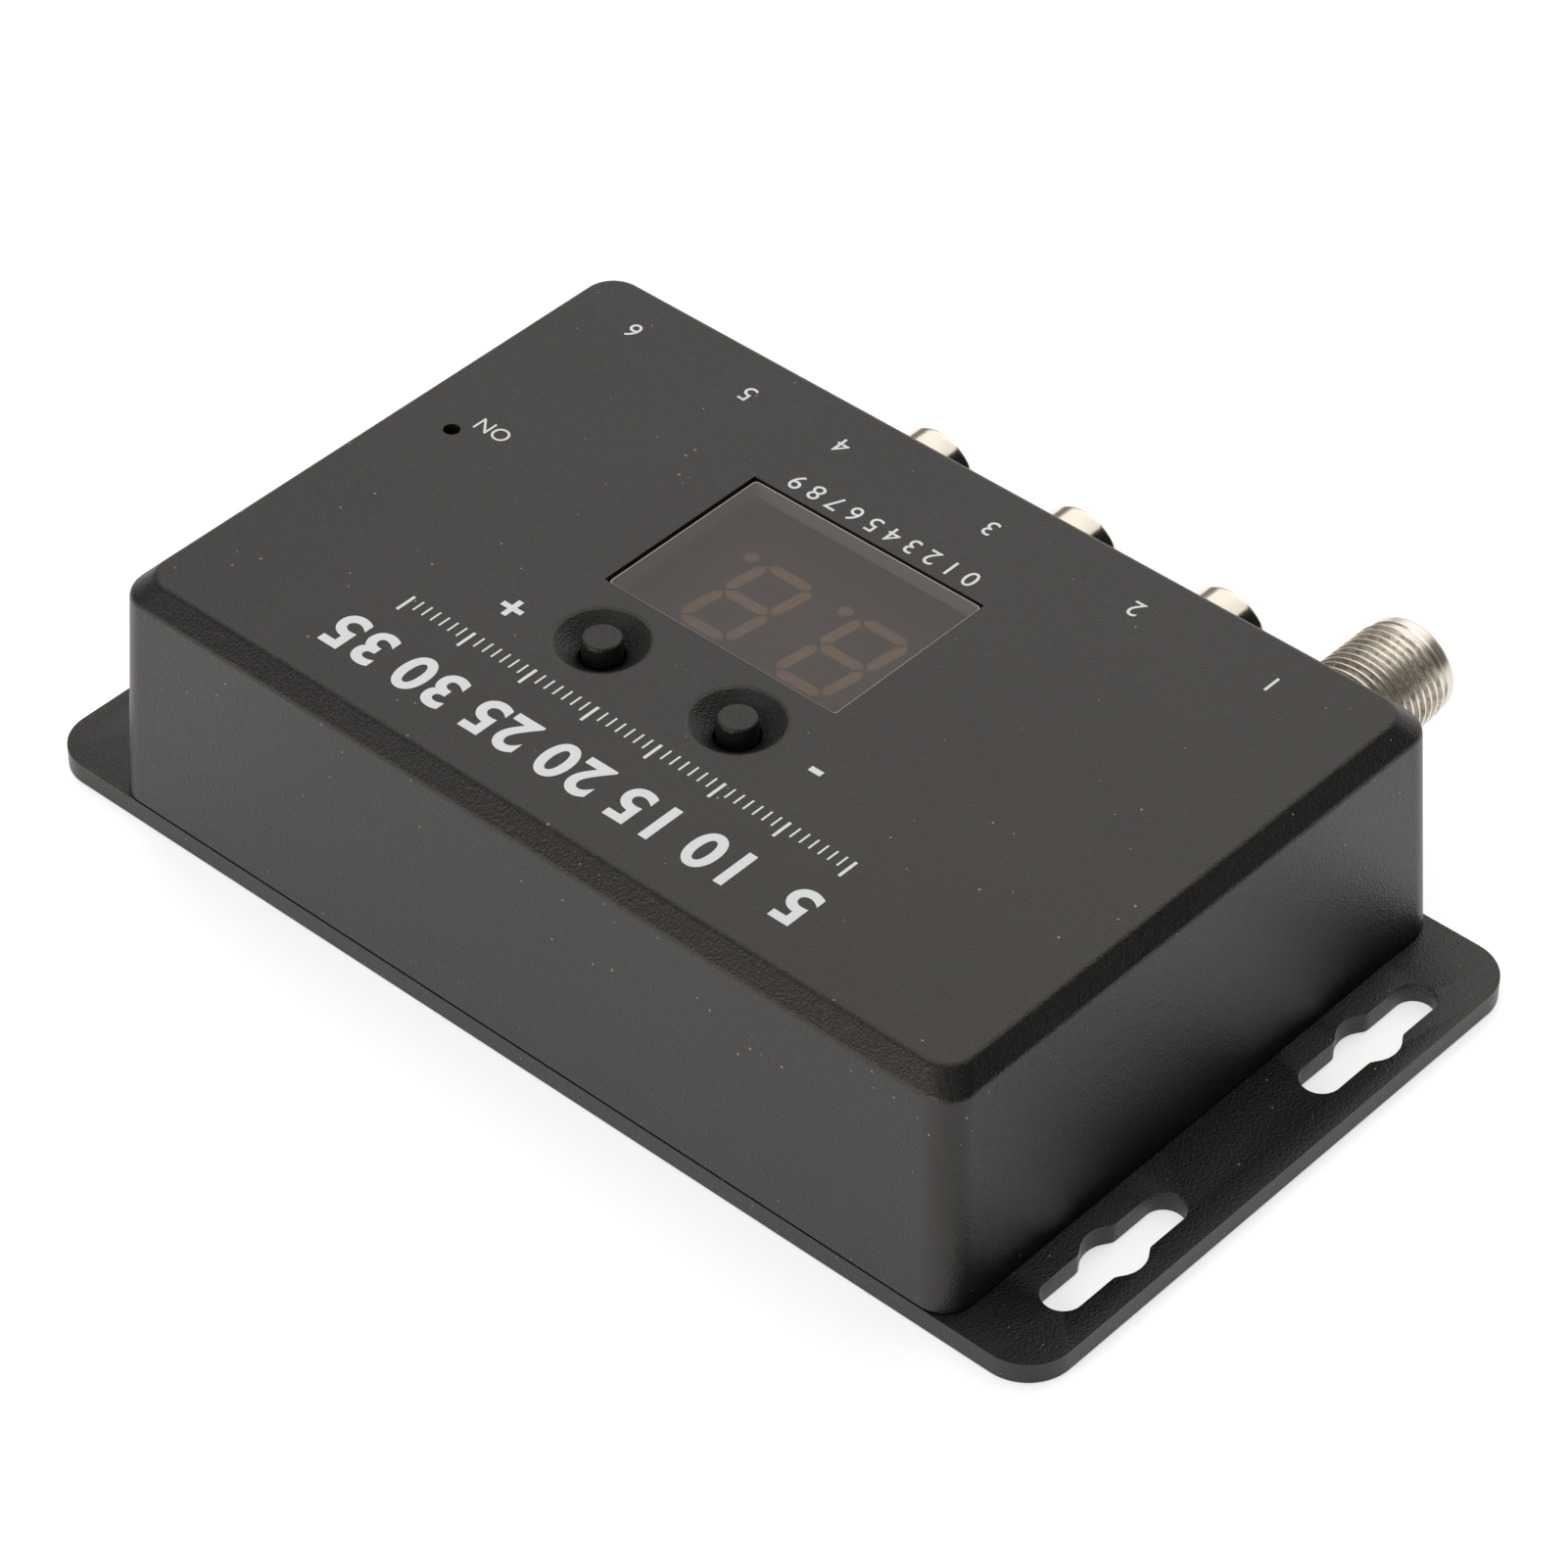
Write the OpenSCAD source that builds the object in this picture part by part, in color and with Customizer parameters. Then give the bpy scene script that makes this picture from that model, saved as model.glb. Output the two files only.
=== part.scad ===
// Audio and video to aerial signal modulator in a flanged plastic case.
// The connectors stand out of the -Y wall, the print on the roof reads upright
// with +Y up, and the origin is the middle of the mounting plate's underside.

/* [Case] */
// Length of the mounting plate, over both flanges
plate_w = 110; // [106:0.5:124]
// Length of the case where it meets the plate
body_w = 92.8; // [91:0.2:98]
// Depth of the case and of the plate
body_d = 61.4; // [60:0.2:70]
// Height from the plate's underside to the roof
case_h = 25; // [24.5:0.5:32]
// Thickness of the mounting plate
plate_t = 2; // [1.8:0.1:3]
// Thickness of the side walls
wall_t = 1.8; // [1.4:0.1:2]
// Thickness of the roof
roof_t = 2; // [1.8:0.1:2.4]
// How far each wall leans in between its foot and the chamfer
wall_draft = 1.1; // [0.4:0.1:1.3]
// Inward run of the chamfer round the roof
chamfer_run = 1.65; // [0.6:0.05:2]
// Drop of the chamfer round the roof
chamfer_drop = 1.75; // [0.6:0.05:2]
// Radius of the case's upright corners
corner_r = 2.9; // [2.2:0.1:4]
// Radius of the plate's corners
plate_corner_r = 4.3; // [2:0.1:6]
// Width of the softened edges round the chamfer
edge_soft = 0.3; // [0.1:0.05:0.5]
// Open seam between the case's rim and the plate
seam_gap = 0.12; // [0.05:0.01:0.3]

/* [Mounting slots] */
// Distance between the two slots of a flange
slot_spacing = 32; // [24:1:40]
// Length of a slot, end to end
slot_len = 16; // [12:0.5:20]
// Width of a slot's arms, for the screw's shank
slot_w = 3.6; // [3:0.1:4.2]
// Diameter of a slot's middle, for the screw's head
slot_eye_d = 5.4; // [5:0.1:6]
// Distance from the plate's end to the slots' centre line
slot_inset = 4.3; // [4:0.1:5]

/* [Display] */
// Width of the window opening
window_w = 25.2; // [24:0.1:26]
// Depth of the window opening
window_d = 18.2; // [17:0.1:19]
// Middle of the window and of the buttons, along the case
panel_x = 2.6; // [0:0.1:4]
// Middle of the window across the case
window_y = -6.1; // [-7:0.1:-5.8]
// Depth of the display's face below the roof
display_depth = 4; // [3.6:0.1:4.4]
// Width of the display module
display_w = 25.1; // [24:0.1:26]
// Depth of the display module
display_d = 19; // [18:0.1:20]
// Height of the display module
display_h = 8; // [7:0.5:8.5]
// Height of a numeral
numeral_h = 10.6; // [9.5:0.1:12]
// Width of a numeral
numeral_w = 6.1; // [5.5:0.1:7]
// Distance between the two numerals
numeral_pitch = 10.5; // [10:0.1:12]

/* [Buttons] */
// Distance between the two buttons
button_pitch = 14.8; // [14:0.1:17]
// Place of the buttons across the case
button_y = 8.8; // [8.5:0.1:11]
// Diameter of a button's stem
button_d = 3.5; // [3:0.1:3.8]
// How far a button stands above the roof
button_proud = 0.4; // [0:0.1:2]
// How far a button travels when it is pressed
button_travel = 0.25; // [0.2:0.05:0.3]
// Diameter of the dish round a button, at the roof
dish_d = 8.4; // [7:0.1:10]
// Depth of the dish round a button
dish_depth = 1.5; // [0.8:0.1:1.6]
// Diameter of the hole in the dish
button_hole_d = 4; // [3.9:0.1:4.6]

/* [Connectors] */
// Place of the aerial output along the case
aerial_x = -33.2; // [-33.6:0.1:-32.6]
// Place of the picture input along the case
video_x = -19.2; // [-19.4:0.1:-18.8]
// Place of the left sound input along the case
left_x = -3.2; // [-4:0.1:-2.8]
// Place of the right sound input along the case
right_x = 12.9; // [12:0.1:13.4]
// Place of the remote repeater jack along the case
repeater_x = 24; // [23.5:0.1:24.4]
// Place of the power inlet along the case
inlet_x = 36.6; // [36:0.1:37]
// Height of the round connectors above the main board
socket_axis_h = 7.5; // [7:0.1:8]
// Diameter of a phono socket's shell
phono_d = 8.3; // [8:0.1:8.5]
// How far a phono socket stands out of the case's foot
phono_reach = 5.7; // [5:0.1:9]
// Diameter over the aerial socket's thread
aerial_d = 9.45; // [9.3:0.05:9.6]
// Pitch of the aerial socket's thread
aerial_pitch = 0.794; // [0.7:0.002:1]
// How far the aerial socket stands out of the case's foot
aerial_reach = 12.6; // [9:0.1:15]
// Diameter of the plug that the repeater jack takes
jack_plug_d = 3.5; // [3.4:0.1:3.6]

/* [Boards] */
// Thickness of both boards
board_t = 1.6; // [1.2:0.1:1.7]
// Share of the case's spare height that the posts under the main board take
post_share = 0.55; // [0.45:0.01:0.6]
// Width of the display board
display_board_w = 33; // [32.5:0.1:33.5]
// Depth of the display board
display_board_d = 31; // [30.6:0.2:31.4]

/* [Hidden] */

// Smoothness and shared clearances
round_fn = 96;
small_fn = 32;
arc_steps = 10;
soft_steps = 3;
cut = 1;
fit_gap = 0.05;
free_gap = 0.3;
touch_gap = 0.2;

// Levels, from the tallest part on the main board
aerial_block_h = 13;
rim_z = plate_t + seam_gap;
chamfer_z = case_h - chamfer_drop;
ceiling_z = case_h - roof_t;
spare_h = ceiling_z - plate_t - board_t - aerial_block_h;
post_h = spare_h * post_share;
board_z = plate_t + post_h;
board_top = board_z + board_t;
socket_z = board_top + socket_axis_h;
display_top = case_h - display_depth;
display_board_top = display_top - display_h;
display_board_z = display_board_top - board_t;
tail_drop = 1;

// Case screws, their bosses and the lip that centres the case
boss_r = 3;
front_boss_y = -11;
boss_x = body_w / 2 - wall_t - wall_draft - boss_r;
rear_boss_y = body_d / 2 - wall_t - wall_draft - boss_r;
boss_places = [
    [-boss_x, front_boss_y], [boss_x, front_boss_y],
    [-boss_x, rear_boss_y], [boss_x, rear_boss_y]
];
case_screw_r = 1.2;
case_screw_len = 10;
case_screw_head_r = 2.3;
case_screw_head_h = 1.2;
case_thread_pitch = 0.9;
case_thread_depth = 0.25;
turn_shares = [0.2, 0.5, 0.8];
lip_h = 1.5;
lip_t = 1.2;
lip_gap = 0.15;

// Main board, its posts and its screws
board_gap = 0.35;
board_w = body_w - 2 * wall_t - 2 * board_gap - 2 * wall_draft;
board_d = body_d - 2 * wall_t - 2 * board_gap - wall_draft;
board_notch_r = boss_r + touch_gap;
post_r = 2.4;
post_edge = 2.8;
rear_post_y = 13;
front_post_y = -20;
post_places = [
    [-(board_w / 2 - post_edge), rear_post_y], [board_w / 2 - post_edge, rear_post_y],
    [(video_x + left_x) / 2, front_post_y], [(repeater_x + inlet_x) / 2, front_post_y]
];
board_screw_r = 1;
pilot_floor = 0.8;
board_screw_tip = 1.1;
board_screw_depth = board_z - pilot_floor - board_screw_tip;
board_screw_head_r = 1.9;
board_screw_head_h = 1.4;
board_thread_pitch = 0.8;
board_thread_depth = 0.2;
recess_depth = 0.5;

// Window pane
pane_gap = 0.1;
pane_recess = 0.15;
pane_flange = 1;
pane_flange_t = 0.8;
pane_edge = 0.15;

// Numerals: bar thickness, lean, light pipe depth, decimal points
bar_t = 1.1;
bar_gap = 0.2;
numeral_lean = 7;
pipe_depth = 2;
point_r = 0.65;
point_gap = 1.2;
display_pin_pitch = 2.54;
display_pin_rows = 15.24;
display_pin_r = 0.25;
display_pin_count = 5;

// Header strips between the boards
header_edge = 1.9;
header_pitch = 2.54;
header_count = 6;
header_w = 2.4;
header_pin_r = 0.32;
header_y = -2;
header_x = display_board_w / 2 - header_edge;
pin_hole_gap = 0.1;

// Push switches
switch_w = 6;
switch_h = 3.5;
switch_cover_t = 0.3;
switch_floor_t = 0.8;
switch_leg_w = 0.7;
switch_leg_t = 0.3;
switch_leg_y = 2.25;
switch_leg_h = 1.2;
foot_r = 2.2;
foot_t = 0.8;
foot_play = 0.02;
nub_r = 0.8;
dome_r = 2;
dome_t = 0.12;
dome_rise = 0.7;
button_bevel = 0.25;
guide_gap = 0.06;
button_boss_r = 3.4;
button_boss_t = 1.2;
button_x = [panel_x + button_pitch / 2, panel_x - button_pitch / 2];

// Phono sockets
socket_face_y = -(body_d / 2 - wall_t - wall_draft - touch_gap);
phono_len = phono_reach + body_d / 2 + socket_face_y;
phono_block_w = 10;
phono_block_d = 9;
phono_block_h = 12.5;
phono_seat = 1.5;
phono_wall = 0.35;
phono_step = 0.4;
phono_tip_bevel = 0.35;
phono_hole_d = 3.3;
phono_contact_t = 0.25;
insert_recess = 0.4;
tail_r = 0.45;
tail_w = 1;
tail_t = 0.5;

// Aerial socket
aerial_block_w = 12.8;
aerial_block_d = 12.5;
aerial_len = aerial_reach + body_d / 2 + socket_face_y;
aerial_depth_share = 0.48;
aerial_turn_shares = [0.09, 0.41, 0.59, 0.91];
aerial_root_r = aerial_d / 2 - aerial_depth_share * aerial_pitch;
aerial_neck = 3.6;
aerial_tip = 1.35;
aerial_nose_r = 4.5;
aerial_nose_soft = 0.7;
aerial_tip_r = 3.85;
aerial_bore_r = 3.2;
aerial_bore_depth = 9;
aerial_contact_r = 0.9;
aerial_hole_r = 0.5;
aerial_hole_depth = 8;
insulator_recess = 0.7;
insulator_nose_t = 1.2;
peg_r = 0.6;
peg_edge = 1.5;
aerial_threads = floor((aerial_len - aerial_neck - aerial_tip) / aerial_pitch);
aerial_first = aerial_len - aerial_tip - aerial_threads * aerial_pitch;

// Repeater jack
jack_w = 6.4;
jack_d = 12;
jack_h = 5.4;
jack_axis_h = 2.8;
jack_nose_r = 2.5;
jack_nose_out = 0.4;
jack_bore_gap = 0.05;
jack_depth = 10.2;
jack_bore_r = jack_plug_d / 2 + jack_bore_gap;
jack_nose = body_d / 2 + socket_face_y + jack_nose_out;
jack_tail_w = 1.7;
jack_tail_pitch = 4;

// Power inlet
inlet_w = 7.5;
inlet_h = 2.7;
inlet_d = 5.2;
inlet_skin = 0.3;
inlet_slope = 0.9;
inlet_recess = 0.5;
inlet_hole_w = 8.6;
inlet_hole_h = 3.8;
inlet_y = -(body_d / 2 - inlet_recess);
tongue_w = 3.7;
tongue_t = 0.6;
tongue_d = 3.4;
tongue_base = 1.2;
contact_w = 0.35;
contact_t = 0.1;
contact_pitch = 0.65;

// Power light
led_x = 38.4;
led_y = -2.8;
led_hole_d = 1.5;
led_d = 3;
led_rim_d = 3.8;
led_rim_t = 1;
led_len = 5.2;
led_gap = 0.4;
led_leg_r = 0.25;
led_leg_pitch = 2.54;
led_spacer_d = 4.4;
led_z = ceiling_z - led_gap - led_len;

// Screening can round the modulator circuit
can_x = -25.5;
can_y = 1.5;
can_w = 21;
can_d = 23;
can_h = 6.6;
can_t = 0.4;
lid_t = 0.3;
lid_skirt = 2.5;
vent_r = 0.8;
vent_pitch = 5;

// Chips, coils and other small parts: middle, width, depth and height
chip_lift = 0.15;
chip_leg_w = 0.4;
chip_leg_t = 0.2;
chip_leg_out = 1.1;
chip_leg_pitch = 1.27;
chip_leg_rise = 0.6;
modulator_at = [can_x, can_y];
modulator_size = [10, 4, 1.6];
controller_at = [8.5, window_y];
controller_size = [12.8, 7.5, 2.3];
regulator_at = [31.5, -10.5];
regulator_size = [6.5, 3.5, 1.7];
regulator_tab = 1.4;
crystal_at = [30.5, 14];
crystal_size = [10.6, 4.2, 3.3];
crystal_foot = 0.5;
capacitor_places = [[25, -5.5], [25, 3], [32.5, 6]];
capacitor_d = 6.3;
capacitor_h = 11;
capacitor_groove = 0.25;
capacitor_groove_z = 1.8;
capacitor_lift = 0.3;
coil_y = 7.5;
coil_w = 5;
coil_h = 2;
coil_core_r = 1.7;
coil_core_depth = 0.6;
resistor_size = [2, 1.25, 0.55];
resistor_pitch = 6;
resistor_row = 4;
resistor_columns = 9;
resistor_rows = 2;
resistor_y = 18.5;

// Inset of the case's outer wall at height z
function wall_inset(z) = wall_draft * (z - rim_z) / (chamfer_z - rim_z);

// Length of a phono shell's neck, which ends just outside the wall
phono_neck = body_d / 2 + socket_face_y - wall_inset(socket_z - phono_d / 2 - free_gap) + fit_gap;

// Point on the curve that softens the edge at b between a and c
function soft_point(a, b, c, t) = pow(1 - t, 2) * a + 2 * t * (1 - t) * b + pow(t, 2) * c;
function toward(a, b, s) = a + (b - a) * s / norm(b - a);
function soft_edge(a, b, c, s) = [
    for (i = [0 : soft_steps]) soft_point(toward(b, a, s), b, toward(b, c, s), i / soft_steps)
];

// Outline of a rectangle with round corners, counter-clockwise
function round_outline(w, d, r) = [
    for (q = [0 : 3]) for (i = [0 : arc_steps])
        let (a = 90 * (q + i / arc_steps), sx = (q == 0 || q == 3) ? 1 : -1, sy = q < 2 ? 1 : -1)
            [sx * (w / 2 - r) + r * cos(a), sy * (d / 2 - r) + r * sin(a)]
];

// Solid through round-cornered sections, each given as [inset, z]
module lofted(w, d, r, sections) {
    n = 4 * (arc_steps + 1);
    top = len(sections) - 1;
    polyhedron(
        points = [
            for (s = sections) for (p = round_outline(w - 2 * s[0], d - 2 * s[0], r)) [p[0], p[1], s[1]]
        ],
        faces = concat(
            [[for (i = [0 : n - 1]) i], [for (i = [n - 1 : -1 : 0]) top * n + i]],
            [for (k = [0 : top - 1]) for (i = [0 : n - 1])
                [k * n + i, (k + 1) * n + i, (k + 1) * n + (i + 1) % n]],
            [for (k = [0 : top - 1]) for (i = [0 : n - 1])
                [k * n + i, (k + 1) * n + (i + 1) % n, k * n + (i + 1) % n]]
        )
    );
}

// Rectangle with true round corners
module round_rect(w, d, r) {
    square([w - 2 * r, d], center = true);
    square([w, d - 2 * r], center = true);
    for (sx = [-1, 1]) for (sy = [-1, 1])
        translate([sx * (w / 2 - r), sy * (d / 2 - r)]) circle(r = r, $fn = round_fn);
}

// Puts its children at a place on the front, with their +Z pointing out of the case
module out_of_front(x, y, z) {
    translate([x, y, z]) rotate([90, 0, 0]) children();
}

// Round bar with a thread of separate turns, from z = 0 downwards to -length
module thread_bar(r, depth, pitch, length) {
    turns = floor(length / pitch);
    rotate_extrude($fn = small_fn)
        polygon(concat(
            [[0, 0], [r - depth, 0]],
            [for (i = [0 : turns - 1]) for (k = [0 : 2])
                [k == 1 ? r : r - depth, -(i + turn_shares[k]) * pitch]],
            [[r - depth, -length + r - depth], [0, -length]]
        ));
}

// Chip body with its pin 1 dimple, standing on its legs
module chip_body(at, size) {
    difference() {
        translate([at[0] - size[0] / 2, at[1] - size[1] / 2, board_top + chip_lift])
            cube([size[0], size[1], size[2] - chip_lift]);
        translate([at[0] - size[0] / 2 + chip_leg_pitch, at[1] - size[1] / 4, board_top + size[2] - chip_leg_t])
            cylinder(h = cut, r = chip_leg_w, $fn = small_fn);
    }
}

// Both rows of a chip's bent legs
module chip_leg_rows(at, size) {
    count = floor((size[0] - chip_leg_pitch) / chip_leg_pitch) + 1;
    for (side = [-1, 1]) for (i = [0 : count - 1])
        translate([at[0] + (i - (count - 1) / 2) * chip_leg_pitch - chip_leg_w / 2, at[1], board_top]) {
            leg_from = size[1] / 2;
            translate([0, side > 0 ? leg_from + chip_leg_t : -leg_from - chip_leg_out, 0])
                cube([chip_leg_w, chip_leg_out - chip_leg_t, chip_leg_t]);
            translate([0, side > 0 ? leg_from : -leg_from - chip_leg_t, 0])
                cube([chip_leg_w, chip_leg_t, chip_leg_rise]);
        }
}

// Places of the pins that pass through the boards
display_pin_places = [
    for (side = [-1, 1]) for (i = [0 : display_pin_count - 1])
        [panel_x + (i - (display_pin_count - 1) / 2) * display_pin_pitch, window_y + side * display_pin_rows / 2]
];
header_places = [
    for (side = [-1, 1]) for (i = [0 : header_count - 1])
        [panel_x + side * header_x, header_y + (i - (header_count - 1) / 2) * header_pitch]
];
switch_leg_places = [
    for (x = button_x) for (sx = [-1, 1]) for (sy = [-1, 1])
        [x + sx * (switch_w + switch_leg_t) / 2, button_y + sy * switch_leg_y]
];
phono_tail_places = [
    for (x = [video_x, left_x, right_x]) for (y = [phono_seat / 2, phono_block_d + tail_t])
        [x, socket_face_y + y]
];
aerial_peg_places = [
    for (sx = [-1, 1]) for (y = [peg_edge, aerial_block_d - peg_edge])
        [aerial_x + sx * (aerial_block_w / 2 - peg_edge), socket_face_y + y]
];
aerial_tail_place = [aerial_x, socket_face_y + aerial_block_d + tail_t];
jack_tail_places = [
    for (i = [0 : 2]) [repeater_x + (i % 2 == 0 ? 1 : -1) * jack_tail_w, socket_face_y + tail_drop + i * jack_tail_pitch]
];
led_leg_places = [for (s = [-1, 1]) [led_x, led_y + s * led_leg_pitch / 2]];

// Round holes through a board whose underside is at z
module board_holes(places, z, r) {
    for (p = places)
        translate([p[0], p[1], z - cut]) cylinder(h = board_t + 2 * cut, r = r, $fn = small_fn);
}

// Case: roof and four drafted walls, with the chamfer, the dishes round the buttons,
// the window and light openings, the connector openings and four screw bosses
module top_shell() {
    foot = [0, rim_z];
    bend = [wall_draft, chamfer_z];
    brink = [wall_draft + chamfer_run, case_h];
    middle = [wall_draft + chamfer_run + edge_soft, case_h];
    color("#45413d")
    difference() {
        union() {
            difference() {
                lofted(body_w, body_d, corner_r, concat(
                    [foot], soft_edge(foot, bend, brink, edge_soft), soft_edge(bend, brink, middle, edge_soft)
                ));
                lofted(body_w - 2 * wall_t, body_d - 2 * wall_t, corner_r - wall_t, [
                    [wall_inset(rim_z - cut), rim_z - cut], [wall_inset(ceiling_z), ceiling_z]
                ]);
            }
            for (p = boss_places)
                translate([p[0], p[1], plate_t])
                    cylinder(h = ceiling_z + roof_t / 2 - plate_t, r = boss_r, $fn = round_fn);
            for (x = button_x)
                translate([x, button_y, ceiling_z - button_boss_t])
                    cylinder(h = button_boss_t + roof_t / 4, r = button_boss_r, $fn = round_fn);
        }
        for (p = boss_places)
            translate([p[0], p[1], plate_t - cut])
                cylinder(h = case_screw_len + cut, r = case_screw_r + fit_gap, $fn = small_fn);
        translate([panel_x - window_w / 2, window_y - window_d / 2, ceiling_z - cut])
            cube([window_w, window_d, roof_t + 2 * cut]);
        translate([led_x, led_y, ceiling_z - cut])
            cylinder(h = roof_t + 2 * cut, d = led_hole_d, $fn = small_fn);
        for (x = button_x)
            translate([x, button_y, 0]) {
                translate([0, 0, ceiling_z - button_boss_t - cut])
                    cylinder(h = button_boss_t + roof_t + 2 * cut, d = button_hole_d, $fn = round_fn);
                dish();
            }
        for (x = [video_x, left_x, right_x])
            front_hole(x, socket_z, phono_d / 2 + free_gap);
        front_hole(aerial_x, socket_z, aerial_d / 2 + free_gap);
        front_hole(repeater_x, board_top + jack_axis_h, jack_nose_r + free_gap);
        translate([inlet_x - inlet_hole_w / 2, -body_d / 2 - cut, board_top + (inlet_h - inlet_hole_h) / 2])
            cube([inlet_hole_w, body_d / 2 + cut + socket_face_y + wall_t, inlet_hole_h]);
    }
}

// Bowl cut round a button, steep at its rim and flat at its hole
module dish() {
    r_in = button_hole_d / 2;
    r_out = dish_d / 2;
    rotate_extrude($fn = round_fn)
        polygon(concat(
            [[0, case_h - dish_depth]],
            [for (i = [0 : arc_steps])
                let (a = 90 * i / arc_steps) [r_in + (r_out - r_in) * sin(a), case_h - dish_depth * cos(a)]],
            [[r_out, case_h + cut], [0, case_h + cut]]
        ));
}

module front_hole(x, z, r) {
    translate([x, -body_d / 2 - cut, z]) rotate([-90, 0, 0])
        cylinder(h = body_d / 2 + cut + socket_face_y + wall_t / 2, r = r, $fn = round_fn);
}

// Flat plate under the case, with two flanges, four slots, the board's posts
// and a low lip that centres the case
module base_plate() {
    lip_w = body_w - 2 * wall_t - 2 * lip_gap - 2 * wall_inset(plate_t + lip_h);
    lip_d = body_d - 2 * wall_t - 2 * lip_gap - 2 * wall_inset(plate_t + lip_h);
    lip_r = corner_r - wall_t;
    color("#3f3b38")
    difference() {
        union() {
            linear_extrude(height = plate_t) difference() {
                round_rect(plate_w, body_d, plate_corner_r);
                for (sx = [-1, 1]) for (sy = [-1, 1])
                    translate([sx * (plate_w / 2 - slot_inset), sy * slot_spacing / 2]) slot_outline();
            }
            translate([0, 0, plate_t]) linear_extrude(height = lip_h) difference() {
                round_rect(lip_w, lip_d, lip_r);
                square([lip_w - 2 * lip_t, lip_d - 2 * lip_t], center = true);
                for (p = boss_places) translate(p) circle(r = boss_r + touch_gap, $fn = round_fn);
            }
            for (p = post_places)
                translate([p[0], p[1], plate_t]) cylinder(h = post_h, r = post_r, $fn = round_fn);
        }
        for (p = post_places)
            translate([p[0], p[1], pilot_floor])
                cylinder(h = board_z - pilot_floor + cut, r = board_screw_r + fit_gap, $fn = small_fn);
        for (p = boss_places) translate([p[0], p[1], 0]) {
            translate([0, 0, -cut]) cylinder(h = plate_t + 2 * cut, r = case_screw_r + free_gap, $fn = small_fn);
            cylinder(h = case_screw_head_h + fit_gap, r1 = case_screw_head_r + fit_gap,
                r2 = case_screw_r + free_gap, $fn = round_fn);
        }
    }
}

// Slot with a round middle: the head drops through it and the shank slides along an arm
module slot_outline() {
    square([slot_w, slot_len - slot_w], center = true);
    for (s = [-1, 1]) translate([0, s * (slot_len - slot_w) / 2]) circle(d = slot_w, $fn = round_fn);
    circle(d = slot_eye_d, $fn = round_fn);
}

// Self-tapping screws with countersunk heads, from below into the bosses
module case_screws() {
    color("#2b2b2d")
    for (p = boss_places) translate([p[0], p[1], 0]) difference() {
        union() {
            cylinder(h = case_screw_head_h, r1 = case_screw_head_r, r2 = case_screw_r, $fn = round_fn);
            translate([0, 0, case_screw_head_h - case_thread_depth]) mirror([0, 0, 1])
                thread_bar(case_screw_r, case_thread_depth, case_thread_pitch,
                    case_screw_len - case_screw_head_h);
        }
        cross_recess(case_screw_head_r);
    }
}

module cross_recess(head_r) {
    for (a = [0, 90]) rotate(a)
        translate([-head_r / 2, -head_r / 10, -cut]) cube([head_r, head_r / 5, cut + recess_depth]);
}

// Smoked pane, set into the roof and glued by its flange from inside
module display_window() {
    w = window_w - 2 * pane_gap;
    d = window_d - 2 * pane_gap;
    pane_top = case_h - pane_recess;
    color("#4a3d36")
    translate([panel_x, window_y, 0]) {
        translate([-w / 2, -d / 2, ceiling_z - pane_flange_t])
            cube([w, d, pane_top - pane_edge - ceiling_z + pane_flange_t]);
        translate([0, 0, pane_top - pane_edge])
            linear_extrude(height = pane_edge) square([w - 2 * pane_edge, d - 2 * pane_edge], center = true);
        translate([-w / 2 - pane_flange, -d / 2 - pane_flange, ceiling_z - pane_flange_t])
            cube([w + 2 * pane_flange, d + 2 * pane_flange, pane_flange_t]);
    }
}

// Leaning numeral: six-sided bars from end to end, given in the numeral's own size
function lean(p) = [p[0] + p[1] * tan(numeral_lean), p[1]];
function bar_points(a, b) =
    let (u = (b - a) / norm(b - a), v = [-u[1], u[0]], h = bar_t / 2, a2 = a + u * bar_gap, b2 = b - u * bar_gap)
        [a2, a2 + u * h + v * h, b2 - u * h + v * h, b2, b2 - u * h - v * h, a2 + u * h - v * h];
bar_shares = [
    [[-1, 1], [1, 1]], [[-1, 0], [1, 0]], [[-1, -1], [1, -1]],
    [[-1, 0], [-1, 1]], [[1, 0], [1, 1]], [[-1, -1], [-1, 0]], [[1, -1], [1, 0]]
];

module numerals() {
    half = [(numeral_w - bar_t) / 2, (numeral_h - bar_t) / 2];
    for (s = [-1, 1]) translate([panel_x + s * numeral_pitch / 2, window_y]) {
        for (bar = bar_shares)
            polygon([for (p = bar_points(
                [bar[0][0] * half[0], bar[0][1] * half[1]], [bar[1][0] * half[0], bar[1][1] * half[1]]
            )) lean(p)]);
        translate(lean([numeral_w / 2 + point_gap, -numeral_h / 2 + point_r])) circle(r = point_r, $fn = small_fn);
    }
}

// Two-numeral light display, its face pierced by the light pipes
module display_module() {
    color("#1c1b1b")
    difference() {
        translate([panel_x - display_w / 2, window_y - display_d / 2, display_board_top])
            cube([display_w, display_d, display_h]);
        translate([0, 0, display_top - pipe_depth]) linear_extrude(height = pipe_depth + cut) numerals();
    }
}

module display_segments() {
    color("#b99a80")
    translate([0, 0, display_top - pipe_depth]) linear_extrude(height = pipe_depth) numerals();
}

module display_pins() {
    color("silver")
    for (p = display_pin_places)
        translate([p[0], p[1], display_board_z - tail_drop])
            cylinder(h = board_t + tail_drop, r = display_pin_r, $fn = small_fn);
}

// Small board that carries the display and the two push switches
module display_board() {
    color("#1f6b3a")
    difference() {
        translate([panel_x - display_board_w / 2, -display_board_d / 2, display_board_z])
            cube([display_board_w, display_board_d, board_t]);
        board_holes(display_pin_places, display_board_z, display_pin_r + pin_hole_gap);
        board_holes(header_places, display_board_z, header_pin_r + pin_hole_gap);
        board_holes(switch_leg_places, display_board_z, switch_leg_w / 2 + pin_hole_gap);
    }
}

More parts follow.
